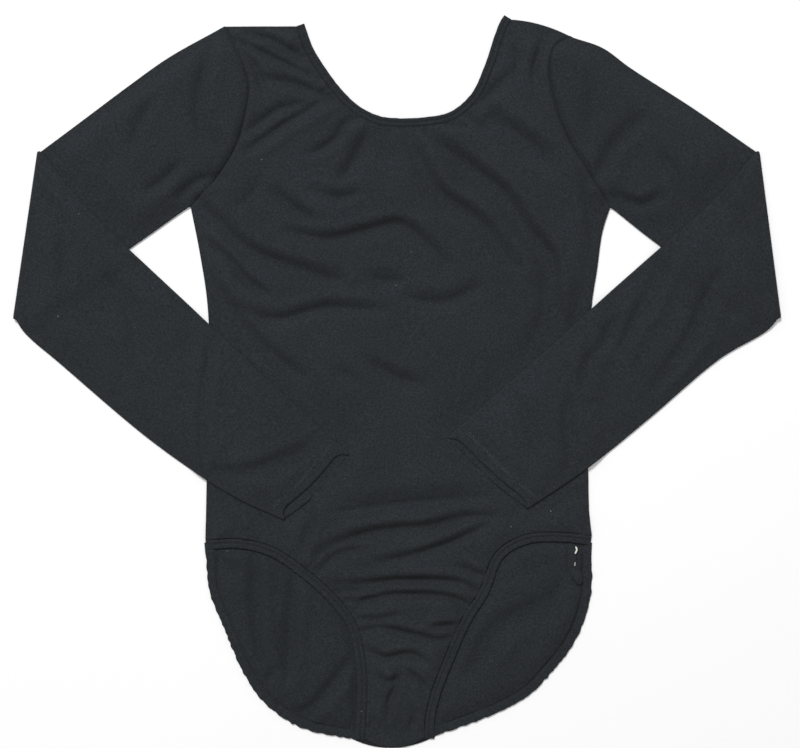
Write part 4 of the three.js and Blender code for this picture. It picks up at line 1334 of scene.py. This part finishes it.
class LEOTARD_OT_stitches(bpy.types.Operator):
    """Sews the rows of stitches on the bands and the cuffs"""

    bl_idname = "leotard.stitches"
    bl_label = "Stitches"

    def execute(self, context):
        rows = [band_row(*neck_line(BAND_STEPS), NECK_GATHERS, NECK_SIZES, 1.2)]
        make_stitches("neck_stitches", rows, 0.0022, 0.0031)
        rows = []
        for name in SIDES:
            for front, gathers, sizes in (
                (True, LEG_GATHERS[name], LEG_SIZES),
                (False, BACK_GATHERS[name], BACK_LEG_SIZES),
            ):
                edge = half_edges(name, BAND_STEPS, front)[1]
                rows += [band_row(*edge, gathers, sizes, row) for row in sizes.rows]
        make_stitches("leg_stitches", rows, 0.0021, 0.0029)
        rows = [path for name in SIDES for path in Sleeve(name).hem_rows()]
        # the cuff rows are sewn in the lighter thread, a painted highlight
        make_stitches("cuff_stitches", rows, 0.0011, 0.0021, "faded_thread")
        return {"FINISHED"}


class LEOTARD_OT_small_things(bpy.types.Operator):
    """Lays the turned end of the right leg casing, the pale ends of its elastic, and a few stray fibres"""

    bl_idname = "leotard.small_things"
    bl_label = "Casing end, elastic ends and lint"

    def execute(self, context):
        rows = [[158.6, -147], [157.6, -158], [158.4, -168], [162.5, -176], [166, -183]]
        tab = make_strip("casing_end_right", rows, 8.0, 2.2, 0.4, band_cloth())
        pale = plain_material("pale_elastic", (0.66, 0.64, 0.55), 0.6, 700, 0.3)
        worn = plain_material("pale_elastic_worn", (0.36, 0.36, 0.32), 0.7, 700, 0.4)
        upper = [[161.4, -149], [162.3, -151.4], [161.5, -153.6], [160.4, -155.4]]
        lower = [[160.9, -162.9], [160.3, -164.6], [160.4, -166.4]]
        for name, rows, width, tape in (("upper", upper, 1.5, pale), ("lower", lower, 1.2, worn)):
            make_strip(f"elastic_end_{name}", rows, width, 0.7, 2.2, tape)
        make_lint(context.scene.leotard_stage.seed)
        return {"FINISHED"}


class LEOTARD_PT_panel(bpy.types.Panel):
    bl_label = "Leotard"
    bl_idname = "LEOTARD_PT_panel"
    bl_space_type = "VIEW_3D"
    bl_region_type = "UI"
    bl_category = "Leotard"

    def draw(self, context):
        for group in (context.scene.leotard_cloth, context.scene.leotard_stage):
            for key in group.__annotations__:
                self.layout.prop(group, key)
        for operator in OPERATORS:
            self.layout.operator(operator.bl_idname)


OPERATORS = (
    LEOTARD_OT_stage,
    LEOTARD_OT_back_body,
    LEOTARD_OT_front_body,
    LEOTARD_OT_sleeves,
    LEOTARD_OT_neck_binding,
    LEOTARD_OT_leg_casings,
    LEOTARD_OT_stitches,
    LEOTARD_OT_small_things,
)
CLASSES = (LeotardCloth, LeotardStage, *OPERATORS, LEOTARD_PT_panel)


def register():
    for cls in CLASSES:
        bpy.utils.register_class(cls)
    bpy.types.Scene.leotard_cloth = PointerProperty(type=LeotardCloth)
    bpy.types.Scene.leotard_stage = PointerProperty(type=LeotardStage)


def unregister():
    del bpy.types.Scene.leotard_stage
    del bpy.types.Scene.leotard_cloth
    for cls in reversed(CLASSES):
        bpy.utils.unregister_class(cls)


def main():
    register()
    for operator in OPERATORS:
        group, name = operator.bl_idname.split(".")
        getattr(getattr(bpy.ops, group), name)()


if __name__ == "__main__":
    main()
